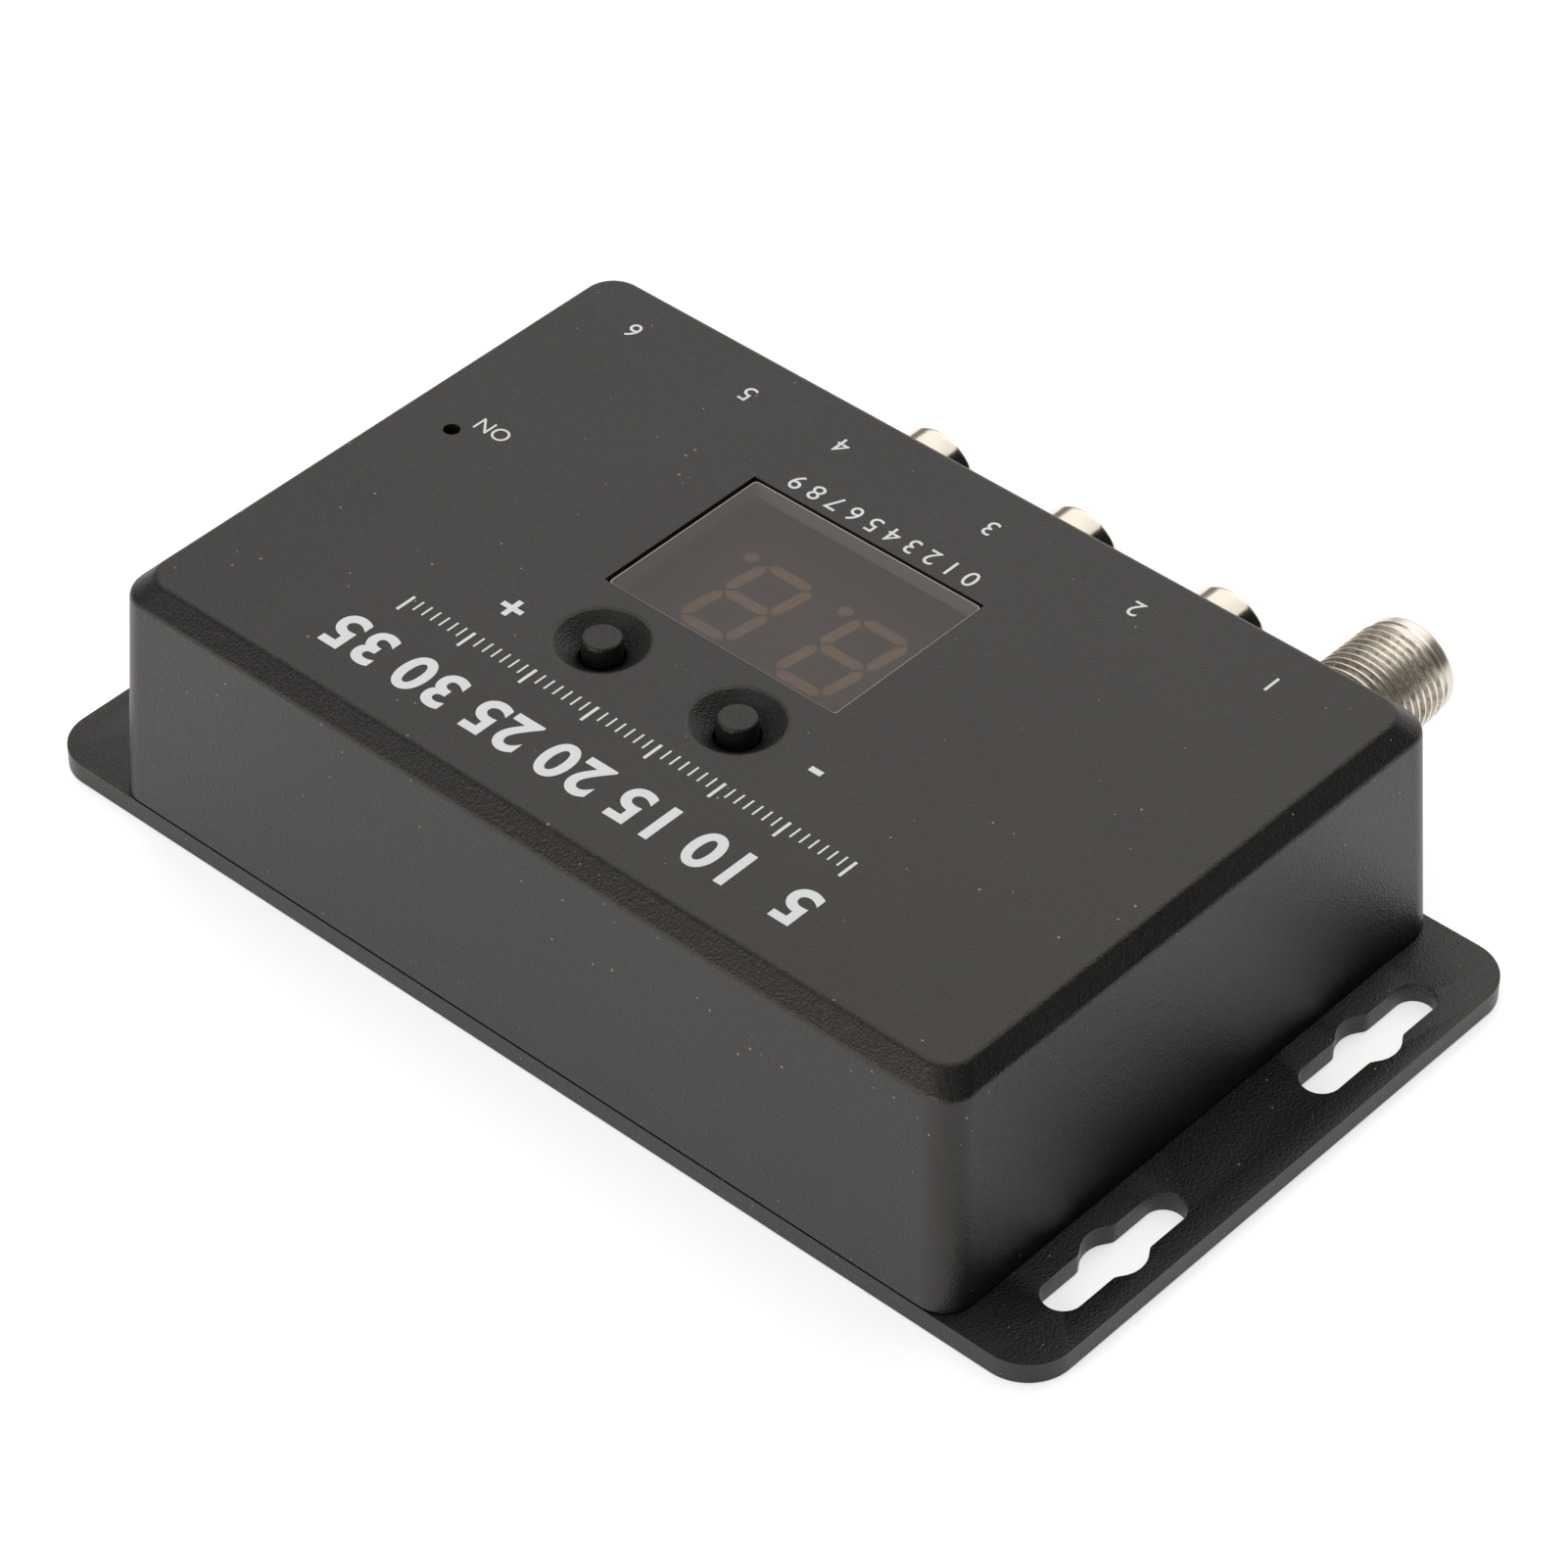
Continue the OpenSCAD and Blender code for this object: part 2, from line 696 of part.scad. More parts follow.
// Plastic strips that hold the pins and space the two boards
module header_strips() {
    strip_h = display_board_z - board_top;
    color("#151515")
    for (side = [-1, 1]) difference() {
        translate([panel_x + side * header_x - header_w / 2, header_y - header_count * header_pitch / 2, board_top])
            cube([header_w, header_count * header_pitch, strip_h]);
        for (p = header_places)
            translate([p[0], p[1], board_top - cut])
                cylinder(h = strip_h + 2 * cut, r = header_pin_r + fit_gap, $fn = small_fn);
    }
}

module header_pins() {
    color("gold")
    for (p = header_places)
        translate([p[0], p[1], board_z - tail_drop])
            cylinder(h = display_board_top - board_z + 2 * tail_drop, r = header_pin_r, $fn = small_fn);
}

// Button: the push switch's own long stem, with the foot that the cover holds down
module button_stem(x) {
    top = case_h + button_proud;
    foot_top = display_board_top + switch_h - switch_cover_t - foot_play;
    foot_bottom = foot_top - foot_t;
    nub_bottom = display_board_top + switch_floor_t + dome_rise + dome_t + touch_gap + button_travel;
    r = button_d / 2;
    color("#242322")
    translate([x, button_y, 0]) rotate_extrude($fn = round_fn)
        polygon([
            [0, nub_bottom], [nub_r, nub_bottom], [nub_r, foot_bottom], [foot_r, foot_bottom],
            [foot_r, foot_top], [r, foot_top], [r, top - button_bevel], [r - button_bevel, top], [0, top]
        ]);
}

module channel_up_button() button_stem(button_x[0]);
module channel_down_button() button_stem(button_x[1]);

module switch_housings() {
    color("#161616")
    for (x = button_x) translate([x, button_y, display_board_top]) difference() {
        translate([-switch_w / 2, -switch_w / 2, 0]) cube([switch_w, switch_w, switch_h - switch_cover_t]);
        translate([0, 0, switch_floor_t]) cylinder(h = switch_h, r = foot_r + guide_gap, $fn = round_fn);
    }
}

module switch_covers() {
    color("silver")
    for (x = button_x) translate([x, button_y, display_board_top + switch_h - switch_cover_t]) difference() {
        translate([-switch_w / 2, -switch_w / 2, 0]) cube([switch_w, switch_w, switch_cover_t]);
        translate([0, 0, -cut]) cylinder(h = switch_cover_t + 2 * cut, r = button_d / 2 + guide_gap, $fn = round_fn);
    }
}

// Sprung metal domes under the stems
module switch_domes() {
    color("goldenrod")
    for (x = button_x) translate([x, button_y, display_board_top + switch_floor_t]) rotate_extrude($fn = round_fn)
        polygon(concat(
            [for (i = [0 : arc_steps]) let (a = 90 * i / arc_steps) [dome_r * sin(a), dome_rise * cos(a) + dome_t]],
            [for (i = [arc_steps : -1 : 0]) let (a = 90 * i / arc_steps) [(dome_r - dome_t) * sin(a), dome_rise * cos(a)]]
        ));
}

module switch_legs() {
    color("silver")
    for (p = switch_leg_places)
        translate([p[0] - switch_leg_t / 2, p[1] - switch_leg_w / 2, display_board_z - tail_drop])
            cube([switch_leg_t, switch_leg_w, board_t + tail_drop + switch_leg_h]);
}

// Main board, notched round the case's bosses
module main_board() {
    color("#1f6b3a")
    difference() {
        translate([-board_w / 2, -board_d / 2, board_z]) cube([board_w, board_d, board_t]);
        for (p = boss_places) {
            reach = boss_x + boss_r + cut;
            translate([p[0], p[1], board_z - cut]) cylinder(h = board_t + 2 * cut, r = board_notch_r, $fn = round_fn);
            translate([p[0] > 0 ? p[0] : -reach, p[1] - board_notch_r, board_z - cut])
                cube([reach - boss_x, 2 * board_notch_r, board_t + 2 * cut]);
        }
        board_holes(post_places, board_z, board_screw_r + touch_gap);
        board_holes(header_places, board_z, header_pin_r + pin_hole_gap);
        board_holes(phono_tail_places, board_z, tail_w / 2 + pin_hole_gap);
        board_holes(aerial_peg_places, board_z, peg_r + pin_hole_gap);
        board_holes([aerial_tail_place], board_z, tail_w / 2 + pin_hole_gap);
        board_holes(jack_tail_places, board_z, tail_r + pin_hole_gap);
        board_holes(led_leg_places, board_z, led_leg_r + pin_hole_gap);
    }
}

module board_screws() {
    color("#8c8f94")
    for (p = post_places) translate([p[0], p[1], board_top]) difference() {
        union() {
            cylinder(h = board_screw_head_h, r1 = board_screw_head_r,
                r2 = board_screw_head_r - board_thread_depth, $fn = round_fn);
            translate([0, 0, board_thread_depth])
                thread_bar(board_screw_r, board_thread_depth, board_thread_pitch, board_t + board_screw_depth);
        }
        translate([0, 0, board_screw_head_h]) mirror([0, 0, 1]) cross_recess(board_screw_head_r);
    }
}

// Phono socket: moulded block on the board, metal shell, coloured insert, centre contact
module phono_block(x) {
    color("#171717")
    difference() {
        translate([x - phono_block_w / 2, socket_face_y, board_top])
            cube([phono_block_w, phono_block_d, phono_block_h]);
        out_of_front(x, socket_face_y, socket_z) {
            translate([0, 0, -phono_seat])
                cylinder(h = phono_seat + cut, r = phono_d / 2 - phono_step + fit_gap, $fn = round_fn);
            translate([0, 0, -phono_block_d - cut])
                cylinder(h = phono_block_d + cut, r = phono_hole_d / 2 + phono_contact_t + fit_gap, $fn = small_fn);
        }
        translate([x, socket_face_y + phono_seat / 2, board_top - cut])
            cylinder(h = socket_axis_h + cut, r = tail_r + fit_gap, $fn = small_fn);
    }
}

module phono_shell(x) {
    r = phono_d / 2;
    color("#d8d2c4") {
        out_of_front(x, socket_face_y, socket_z) rotate_extrude($fn = round_fn)
            polygon([
                [r - phono_step - phono_wall, -phono_seat], [r - phono_step, -phono_seat],
                [r - phono_step, phono_neck], [r, phono_neck], [r, phono_len - phono_tip_bevel],
                [r - phono_tip_bevel, phono_len], [r - phono_step - phono_wall, phono_len]
            ]);
        translate([x, socket_face_y + phono_seat / 2, board_z - tail_drop])
            cylinder(h = socket_z - r + phono_step + phono_wall / 4 - board_z + tail_drop, r = tail_r, $fn = small_fn);
    }
}

module phono_insert(x, shade) {
    r = phono_d / 2 - phono_step - phono_wall - fit_gap;
    color(shade)
    out_of_front(x, socket_face_y, socket_z) difference() {
        translate([0, 0, -phono_seat])
            cylinder(h = phono_seat + phono_len - insert_recess, r = r, $fn = round_fn);
        translate([0, 0, -phono_seat - cut])
            cylinder(h = phono_seat + phono_len + 2 * cut, r = phono_hole_d / 2 + phono_contact_t + fit_gap, $fn = small_fn);
    }
}

module phono_contact(x) {
    r = phono_hole_d / 2;
    color("#c9a24a") {
        out_of_front(x, socket_face_y, socket_z) difference() {
            translate([0, 0, -phono_block_d - tail_t])
                cylinder(h = phono_block_d + tail_t + phono_len - 2 * insert_recess, r = r + phono_contact_t, $fn = small_fn);
            translate([0, 0, -phono_seat])
                cylinder(h = phono_seat + phono_len + cut, r = r, $fn = small_fn);
        }
        translate([x - tail_w / 2, socket_face_y + phono_block_d + tail_t / 2, board_z - tail_drop])
            cube([tail_w, tail_t, socket_z - board_z + tail_drop]);
    }
}

module video_socket_block() phono_block(video_x);
module video_socket_shell() phono_shell(video_x);
module video_socket_insert() phono_insert(video_x, "#e3c62f");
module video_socket_contact() phono_contact(video_x);
module left_socket_block() phono_block(left_x);
module left_socket_shell() phono_shell(left_x);
module left_socket_insert() phono_insert(left_x, "#f0efe9");
module left_socket_contact() phono_contact(left_x);
module right_socket_block() phono_block(right_x);
module right_socket_shell() phono_shell(right_x);
module right_socket_insert() phono_insert(right_x, "#c22b26");
module right_socket_contact() phono_contact(right_x);

// Aerial socket: plated die casting with a threaded barrel
module aerial_socket_body() {
    r = aerial_d / 2;
    color("#cfc7b6")
    difference() {
        union() {
            translate([aerial_x - aerial_block_w / 2, socket_face_y, board_top])
                cube([aerial_block_w, aerial_block_d, aerial_block_h]);
            out_of_front(aerial_x, socket_face_y, socket_z) rotate_extrude($fn = round_fn)
                polygon(concat(
                    [[0, -aerial_tip], [aerial_root_r, -aerial_tip], [aerial_root_r, aerial_first]],
                    [for (i = [0 : aerial_threads - 1]) for (k = [0 : 3])
                        [k == 1 || k == 2 ? r : aerial_root_r,
                            aerial_first + (i + aerial_turn_shares[k]) * aerial_pitch]],
                    [[aerial_root_r, aerial_len - aerial_tip], [aerial_nose_r, aerial_len - aerial_tip],
                        [aerial_nose_r, aerial_len - aerial_nose_soft], [aerial_tip_r, aerial_len], [0, aerial_len]]
                ));
            for (p = aerial_peg_places)
                translate([p[0], p[1], board_z - tail_drop])
                    cylinder(h = board_t + tail_drop + peg_r, r = peg_r, $fn = small_fn);
        }
        out_of_front(aerial_x, socket_face_y, socket_z) {
            translate([0, 0, -aerial_bore_depth])
                cylinder(h = aerial_bore_depth + aerial_len + cut, r = aerial_bore_r, $fn = round_fn);
            translate([0, 0, -aerial_block_d - cut])
                cylinder(h = aerial_block_d, r = aerial_contact_r + free_gap, $fn = small_fn);
        }
    }
}

module aerial_socket_insulator() {
    front = aerial_len - insulator_recess;
    color("#ece7da")
    out_of_front(aerial_x, socket_face_y, socket_z) difference() {
        translate([0, 0, -aerial_bore_depth])
            cylinder(h = aerial_bore_depth + front, r = aerial_bore_r - fit_gap, $fn = round_fn);
        translate([0, 0, -aerial_bore_depth - cut])
            cylinder(h = aerial_bore_depth + cut + front - insulator_nose_t,
                r = aerial_contact_r + fit_gap, $fn = small_fn);
        cylinder(h = front + cut, r = aerial_hole_r + fit_gap, $fn = small_fn);
    }
}

// Sprung tube that grips the middle wire of the aerial cable, and its tail
module aerial_socket_contact() {
    front = aerial_len - insulator_recess - insulator_nose_t - touch_gap;
    color("#c9a24a") {
        out_of_front(aerial_x, socket_face_y, socket_z) difference() {
            translate([0, 0, -aerial_block_d - tail_t])
                cylinder(h = aerial_block_d + tail_t + front, r = aerial_contact_r, $fn = small_fn);
            translate([0, 0, front - aerial_hole_depth])
                cylinder(h = aerial_hole_depth + cut, r = aerial_hole_r, $fn = small_fn);
        }
        translate([aerial_x - tail_w / 2, aerial_tail_place[1] - tail_t / 2, board_z - tail_drop])
            cube([tail_w, tail_t, socket_z - board_z + tail_drop]);
    }
}

// Jack for the remote repeater's eye, with a round nose in the wall
module repeater_jack_body() {
    color("#181818")
    difference() {
        union() {
            translate([repeater_x - jack_w / 2, socket_face_y, board_top]) cube([jack_w, jack_d, jack_h]);
            out_of_front(repeater_x, socket_face_y, board_top + jack_axis_h)
                translate([0, 0, -tail_drop]) cylinder(h = jack_nose + tail_drop, r = jack_nose_r, $fn = round_fn);
        }
        out_of_front(repeater_x, socket_face_y, board_top + jack_axis_h)
            translate([0, 0, -jack_depth]) cylinder(h = jack_depth + jack_nose + cut, r = jack_bore_r, $fn = round_fn);
        for (p = jack_tail_places)
            translate([p[0], p[1], board_top - cut]) cylinder(h = cut + tail_r, r = tail_r + fit_gap, $fn = small_fn);
    }
}

module repeater_jack_contacts() {
    color("silver")
    for (p = jack_tail_places)
        translate([p[0], p[1], board_z - tail_drop])
            cylinder(h = board_t + tail_drop + tail_r, r = tail_r, $fn = small_fn);
}

// Power inlet: folded steel shell with sloping lower corners
module inlet_outline(shrink) {
    w = inlet_w / 2 - shrink;
    h = inlet_h - 2 * shrink;
    s = inlet_slope;
    translate([0, shrink]) polygon([[-w, h], [w, h], [w, s], [w - s, 0], [-w + s, 0], [-w, s]]);
}

module power_inlet_shell() {
    color("#c4c6c9")
    translate([inlet_x, inlet_y + inlet_d, board_top]) rotate([90, 0, 0])
        linear_extrude(height = inlet_d) difference() {
            inlet_outline(0);
            inlet_outline(inlet_skin);
        }
}

module power_inlet_tongue() {
    gap = inlet_skin + fit_gap;
    color("#101010")
    translate([inlet_x, inlet_y + inlet_d, board_top]) rotate([90, 0, 0]) {
        linear_extrude(height = tongue_base) inlet_outline(gap);
        translate([-tongue_w / 2, inlet_h / 2, 0]) cube([tongue_w, tongue_t, tongue_base + tongue_d]);
    }
}

module power_inlet_contacts() {
    color("gold")
    for (i = [-2 : 2])
        translate([inlet_x + i * contact_pitch - contact_w / 2, inlet_y + inlet_d - tongue_base - tongue_d,
            board_top + inlet_h / 2 - contact_t])
            cube([contact_w, tongue_d, contact_t]);
}

// Power light under its pinhole, on a spacer tube
module power_led() {
    r = led_d / 2;
    color("#b8d8c0")
    translate([led_x, led_y, led_z]) rotate_extrude($fn = round_fn)
        polygon(concat(
            [[0, 0], [led_rim_d / 2, 0], [led_rim_d / 2, led_rim_t], [r, led_rim_t]],
            [for (i = [0 : arc_steps]) let (a = 90 * i / arc_steps) [r * cos(a), led_len - r + r * sin(a)]]
        ));
}

module led_legs() {
    color("silver")
    for (p = led_leg_places)
        translate([p[0], p[1], board_z - tail_drop])
            cylinder(h = led_z - board_z + tail_drop, r = led_leg_r, $fn = small_fn);
}

module led_spacer() {
    color("#e8e6df")
    difference() {
        translate([led_x, led_y, board_top]) cylinder(h = led_z - board_top, d = led_spacer_d, $fn = round_fn);
        for (p = led_leg_places)
            translate([p[0], p[1], board_top - cut])
                cylinder(h = led_z - board_top + 2 * cut, r = led_leg_r + fit_gap, $fn = small_fn);
    }
}

// Tinned frame and snap-on lid that screen the modulator circuit
module shield_frame() {
    color("#b9bcc0")
    translate([can_x, can_y, board_top]) linear_extrude(height = can_h) difference() {
        square([can_w, can_d], center = true);
        square([can_w - 2 * can_t, can_d - 2 * can_t], center = true);
    }
}

module shield_lid() {
    w = can_w + 2 * fit_gap + 2 * lid_t;
    d = can_d + 2 * fit_gap + 2 * lid_t;
    color("#c6c9cc")
    translate([can_x, can_y, board_top + can_h]) difference() {
        translate([-w / 2, -d / 2, -lid_skirt]) cube([w, d, lid_skirt + lid_t]);
        translate([-w / 2 + lid_t, -d / 2 + lid_t, -lid_skirt - cut]) cube([w - 2 * lid_t, d - 2 * lid_t, lid_skirt + cut]);
        for (i = [-1 : 1]) for (j = [-1 : 1])
            translate([i * vent_pitch, j * vent_pitch, -cut]) cylinder(h = 2 * cut, r = vent_r, $fn = small_fn);
    }
}

module modulator_chip() { color("#1a1a1a") chip_body(modulator_at, modulator_size); }
module controller_chip() { color("#1a1a1a") chip_body(controller_at, controller_size); }

module chip_legs() {
    color("silver") {
        chip_leg_rows(modulator_at, modulator_size);
        chip_leg_rows(controller_at, controller_size);
    }
}

module voltage_regulator() {
    s = regulator_size;
    color("#202020")
    translate([regulator_at[0], regulator_at[1], board_top]) {
        translate([-s[0] / 2, -s[1] / 2, 0]) cube(s);
        translate([-s[0] / 4, s[1] / 2, 0]) cube([s[0] / 2, regulator_tab, chip_leg_t]);
        for (i = [-1 : 1])
            translate([i * s[0] / 3 - chip_leg_w, -s[1] / 2 - regulator_tab, 0])
                cube([2 * chip_leg_w, regulator_tab, chip_leg_t]);
    }
}

module crystal_can() {
    s = crystal_size;
    color("#cfd1d3")
    translate([crystal_at[0], crystal_at[1], board_top]) {
        linear_extrude(height = crystal_foot) round_rect(s[0] + crystal_foot, s[1] + crystal_foot, s[1] / 2);
        linear_extrude(height = s[2]) round_rect(s[0], s[1], s[1] / 2 - crystal_foot / 2);
    }
}

// Electrolytic capacitors, with the groove crimped round the seal
module filter_capacitors() {
    r = capacitor_d / 2;
    g = capacitor_groove;
    color("#26304a")
    for (p = capacitor_places) translate([p[0], p[1], board_top]) {
        rotate_extrude($fn = round_fn) polygon([
            [0, 0], [r, 0], [r, capacitor_groove_z - g], [r - g, capacitor_groove_z], [r, capacitor_groove_z + g],
            [r, capacitor_h - g], [r - g, capacitor_h], [0, capacitor_h]
        ]);
    }
}

module filter_coils() {
    color("#3a3a3c")
    for (x = button_x) translate([x, coil_y, board_top]) difference() {
        linear_extrude(height = coil_h) round_rect(coil_w, coil_w, coil_w / 5);
        translate([0, 0, coil_h - coil_core_depth]) cylinder(h = cut, r = coil_core_r, $fn = small_fn);
    }
}

module chip_resistors() {
    s = resistor_size;
    color("#2a2a2a")
    for (i = [0 : resistor_columns - 1]) for (j = [0 : resistor_rows - 1])
        translate([(i - (resistor_columns - 1) / 2) * resistor_pitch - s[0] / 2, resistor_y + j * resistor_row, board_top])
            cube(s);
}

top_shell();
base_plate();
case_screws();
display_window();
display_module();
display_segments();
display_pins();
display_board();
header_strips();
header_pins();
channel_up_button();
channel_down_button();
switch_housings();
switch_covers();
switch_domes();
switch_legs();
main_board();
board_screws();
video_socket_block();
video_socket_shell();
video_socket_insert();
video_socket_contact();
left_socket_block();
left_socket_shell();
left_socket_insert();
left_socket_contact();
right_socket_block();
right_socket_shell();
right_socket_insert();
right_socket_contact();
aerial_socket_body();
aerial_socket_insulator();
aerial_socket_contact();
repeater_jack_body();
repeater_jack_contacts();
power_inlet_shell();
power_inlet_tongue();
power_inlet_contacts();
power_led();
led_legs();
led_spacer();
shield_frame();
shield_lid();
modulator_chip();
controller_chip();
chip_legs();
voltage_regulator();
crystal_can();
filter_capacitors();
filter_coils();
chip_resistors();
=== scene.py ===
import bmesh
import bpy
import math
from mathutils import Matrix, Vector


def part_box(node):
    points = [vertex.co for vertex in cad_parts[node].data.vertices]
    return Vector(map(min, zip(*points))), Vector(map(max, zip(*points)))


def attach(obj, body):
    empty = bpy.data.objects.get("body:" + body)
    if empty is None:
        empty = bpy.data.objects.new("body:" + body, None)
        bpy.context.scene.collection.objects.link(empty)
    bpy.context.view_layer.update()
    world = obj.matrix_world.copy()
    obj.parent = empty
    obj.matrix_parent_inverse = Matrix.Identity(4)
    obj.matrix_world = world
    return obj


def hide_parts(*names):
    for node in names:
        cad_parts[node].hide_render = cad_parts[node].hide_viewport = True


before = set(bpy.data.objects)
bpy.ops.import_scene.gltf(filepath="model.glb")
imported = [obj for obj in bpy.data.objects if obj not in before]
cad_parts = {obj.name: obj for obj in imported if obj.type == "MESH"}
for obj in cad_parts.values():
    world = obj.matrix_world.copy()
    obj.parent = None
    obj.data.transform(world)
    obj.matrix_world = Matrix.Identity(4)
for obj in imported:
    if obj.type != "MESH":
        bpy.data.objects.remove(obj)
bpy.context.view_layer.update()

# The view: a long lens, a little over 40 degrees above the floor, that looks at the
# corner between the plain rear wall and the left flange.
camera_data = bpy.data.cameras.new("camera")
camera_data.sensor_width = 36.0
camera_data.lens = 134.327
camera = bpy.data.objects.new("camera", camera_data)
bpy.context.collection.objects.link(camera)
camera.location = (-0.243355, 0.267337, 0.328104)
camera.rotation_euler = (math.radians(48.629), 0.0, math.radians(-137.903))
bpy.context.scene.camera = camera
bpy.context.scene.view_settings.view_transform = "Standard"


# The studio: a pale sheet under the object, one very large soft lamp over and behind
# it, and a smaller one on the rear wall's side. The room is dark past the left flange
# and bright past the connectors.
def add_node(tree, kind, settings=None, **values):
    """Adds a shader node, with its own settings and the values of its sockets."""
    made = tree.nodes.new(kind)
    for key, value in (settings or {}).items():
        setattr(made, key, value)
    for key, value in values.items():
        made.inputs[key.replace("_", " ")].default_value = value
    return made


def new_finish(name):
    """A material with only its output, and a function that joins two sockets."""
    finish = bpy.data.materials.new(name)
    finish.use_nodes = True
    finish.node_tree.nodes.clear()
    finish.node_tree.nodes.new("ShaderNodeOutputMaterial")
    return finish, finish.node_tree, finish.node_tree.links.new


def soft_lamp(name, place, towards, width, watts):
    """A square lamp with a faintly warm light, turned towards a place."""
    lamp_data = bpy.data.lights.new(name, "AREA")
    lamp_data.shape = "SQUARE"
    lamp_data.size = width
    lamp_data.energy = watts
    lamp_data.color = (1.0, 0.99, 0.975)
    lamp = bpy.data.objects.new(name, lamp_data)
    bpy.context.collection.objects.link(lamp)
    lamp.location = place
    lamp.rotation_euler = (Vector(place) - Vector(towards)).to_track_quat("Z", "Y").to_euler()


soft_lamp("overhead lamp", (0.29, -0.44, 0.84), (0, 0, 0), width=1.5, watts=8.1)
soft_lamp("rear wall lamp", (0.05, 1.0, 0.35), (0, 0, 0.01), width=0.8, watts=6.0)

world = bpy.data.worlds.new("studio")
bpy.context.scene.world = world
world.use_nodes = True
sky = world.node_tree
sky_light = sky.nodes["Background"]
sky_light.inputs["Color"].default_value = (1.0, 0.995, 0.985, 1)
sky_way = add_node(sky, "ShaderNodeTexCoord")


def sky_level(towards, **levels):
    """A strength for the sky that goes over, smoothly, to another one on one side."""
    side = add_node(sky, "ShaderNodeVectorMath", {"operation": "DOT_PRODUCT"})
    side.inputs[1].default_value = towards
    level = add_node(sky, "ShaderNodeMapRange", {"interpolation_type": "SMOOTHSTEP"}, **levels)
    sky.links.new(sky_way.outputs["Object"], side.inputs[0])
    sky.links.new(side.outputs["Value"], level.inputs["Value"])
    return level.outputs["Result"]


left_side = sky_level((-0.76, -0.55, 0.34), From_Min=0.35, From_Max=0.85, To_Min=0.2, To_Max=0.012)
front_side = sky_level((0.2, -0.97, 0.1), From_Min=0.75, From_Max=0.92, To_Max=0.5)
sky_sum = add_node(sky, "ShaderNodeMath", {"operation": "ADD"})
sky.links.new(left_side, sky_sum.inputs[0])
sky.links.new(front_side, sky_sum.inputs[1])
sky.links.new(sky_sum.outputs[0], sky_light.inputs["Strength"])
sky_path = add_node(sky, "ShaderNodeLightPath")
sky_white = add_node(sky, "ShaderNodeBackground", Color=(1, 1, 1, 1), Strength=1.0)
sky_mix = add_node(sky, "ShaderNodeMixShader")
sky.links.new(sky_path.outputs["Is Camera Ray"], sky_mix.inputs[0])
sky.links.new(sky_light.outputs[0], sky_mix.inputs[1])
sky.links.new(sky_white.outputs[0], sky_mix.inputs[2])
sky.links.new(sky_mix.outputs[0], sky.nodes["World Output"].inputs[0])

bpy.ops.object.select_all(action="DESELECT")
bpy.ops.mesh.primitive_plane_add(size=8.0, location=(0, 0, -0.0002))
floor = bpy.context.object
floor.name = "floor"
floor_finish, tree, wire = new_finish("pale sheet")
floor_shade = add_node(tree, "ShaderNodeBsdfPrincipled", Base_Color=(0.86, 0.86, 0.86, 1), Roughness=0.75)
floor_glow = add_node(tree, "ShaderNodeEmission", Strength=0.61)
floor_sum = add_node(tree, "ShaderNodeAddShader")
floor_path = add_node(tree, "ShaderNodeLightPath")
floor_seen = add_node(tree, "ShaderNodeMath", {"operation": "MAXIMUM"})
floor_through = add_node(tree, "ShaderNodeMath", {"operation": "MAXIMUM"})
floor_mix = add_node(tree, "ShaderNodeMixShader")
wire(floor_path.outputs["Is Camera Ray"], floor_seen.inputs[0])
wire(floor_path.outputs["Is Glossy Ray"], floor_seen.inputs[1])
wire(floor_seen.outputs[0], floor_through.inputs[0])
wire(floor_path.outputs["Is Transmission Ray"], floor_through.inputs[1])
wire(floor_shade.outputs[0], floor_sum.inputs[0])
wire(floor_glow.outputs[0], floor_sum.inputs[1])
wire(floor_through.outputs[0], floor_mix.inputs[0])
wire(floor_shade.outputs[0], floor_mix.inputs[1])
wire(floor_sum.outputs[0], floor_mix.inputs[2])
wire(floor_mix.outputs[0], tree.nodes["Material Output"].inputs["Surface"])
floor.data.materials.append(floor_finish)


# Mounting plate: one flat moulding in matte black plastic, with a flange at each end.
# Its edges are only just eased, and each flange has two slots with a round middle for
# a screw's head.
def pick(kind, test):
    """In edit mode, selects only the faces or edges that pass the test."""
    bpy.ops.mesh.select_mode(type=kind)
    bpy.ops.mesh.select_all(action="DESELECT")
    shape = bmesh.from_edit_mesh(bpy.context.edit_object.data)
    for element in shape.faces if kind == "FACE" else shape.edges:
        if test(element):
            element.select_set(True)
    bmesh.update_edit_mesh(bpy.context.edit_object.data)


def upright(edge):
    span = edge.verts[0].co - edge.verts[1].co
    return abs(span.z) > 0.9 * span.length


def block(name, low, high):
    """A box between two corners, with its place in its mesh, left active."""
    bpy.ops.object.select_all(action="DESELECT")
    middle = [(a + b) / 2 for a, b in zip(low, high)]
    size = [b - a for a, b in zip(low, high)]
    bpy.ops.mesh.primitive_cube_add(size=1, location=middle, scale=size)
    bpy.ops.object.transform_apply(location=True, rotation=True, scale=True)
    bpy.context.object.name = name
    return bpy.context.object


def rod(name, place, radius, length, axis="Z", sides=64):
    """A round bar that starts at a place and runs along an axis."""
    bpy.ops.object.select_all(action="DESELECT")
    turn = {"Z": (0, 0, 0), "-Y": (math.pi / 2, 0, 0)}[axis]
    reach = {"Z": (0, 0, length / 2), "-Y": (0, -length / 2, 0)}[axis]
    middle = [a + b for a, b in zip(place, reach)]
    bpy.ops.mesh.primitive_cylinder_add(vertices=sides, radius=radius, depth=length,
                                        location=middle, rotation=turn)
    bpy.ops.object.transform_apply(location=True, rotation=True, scale=True)
    bpy.context.object.name = name
    return bpy.context.object


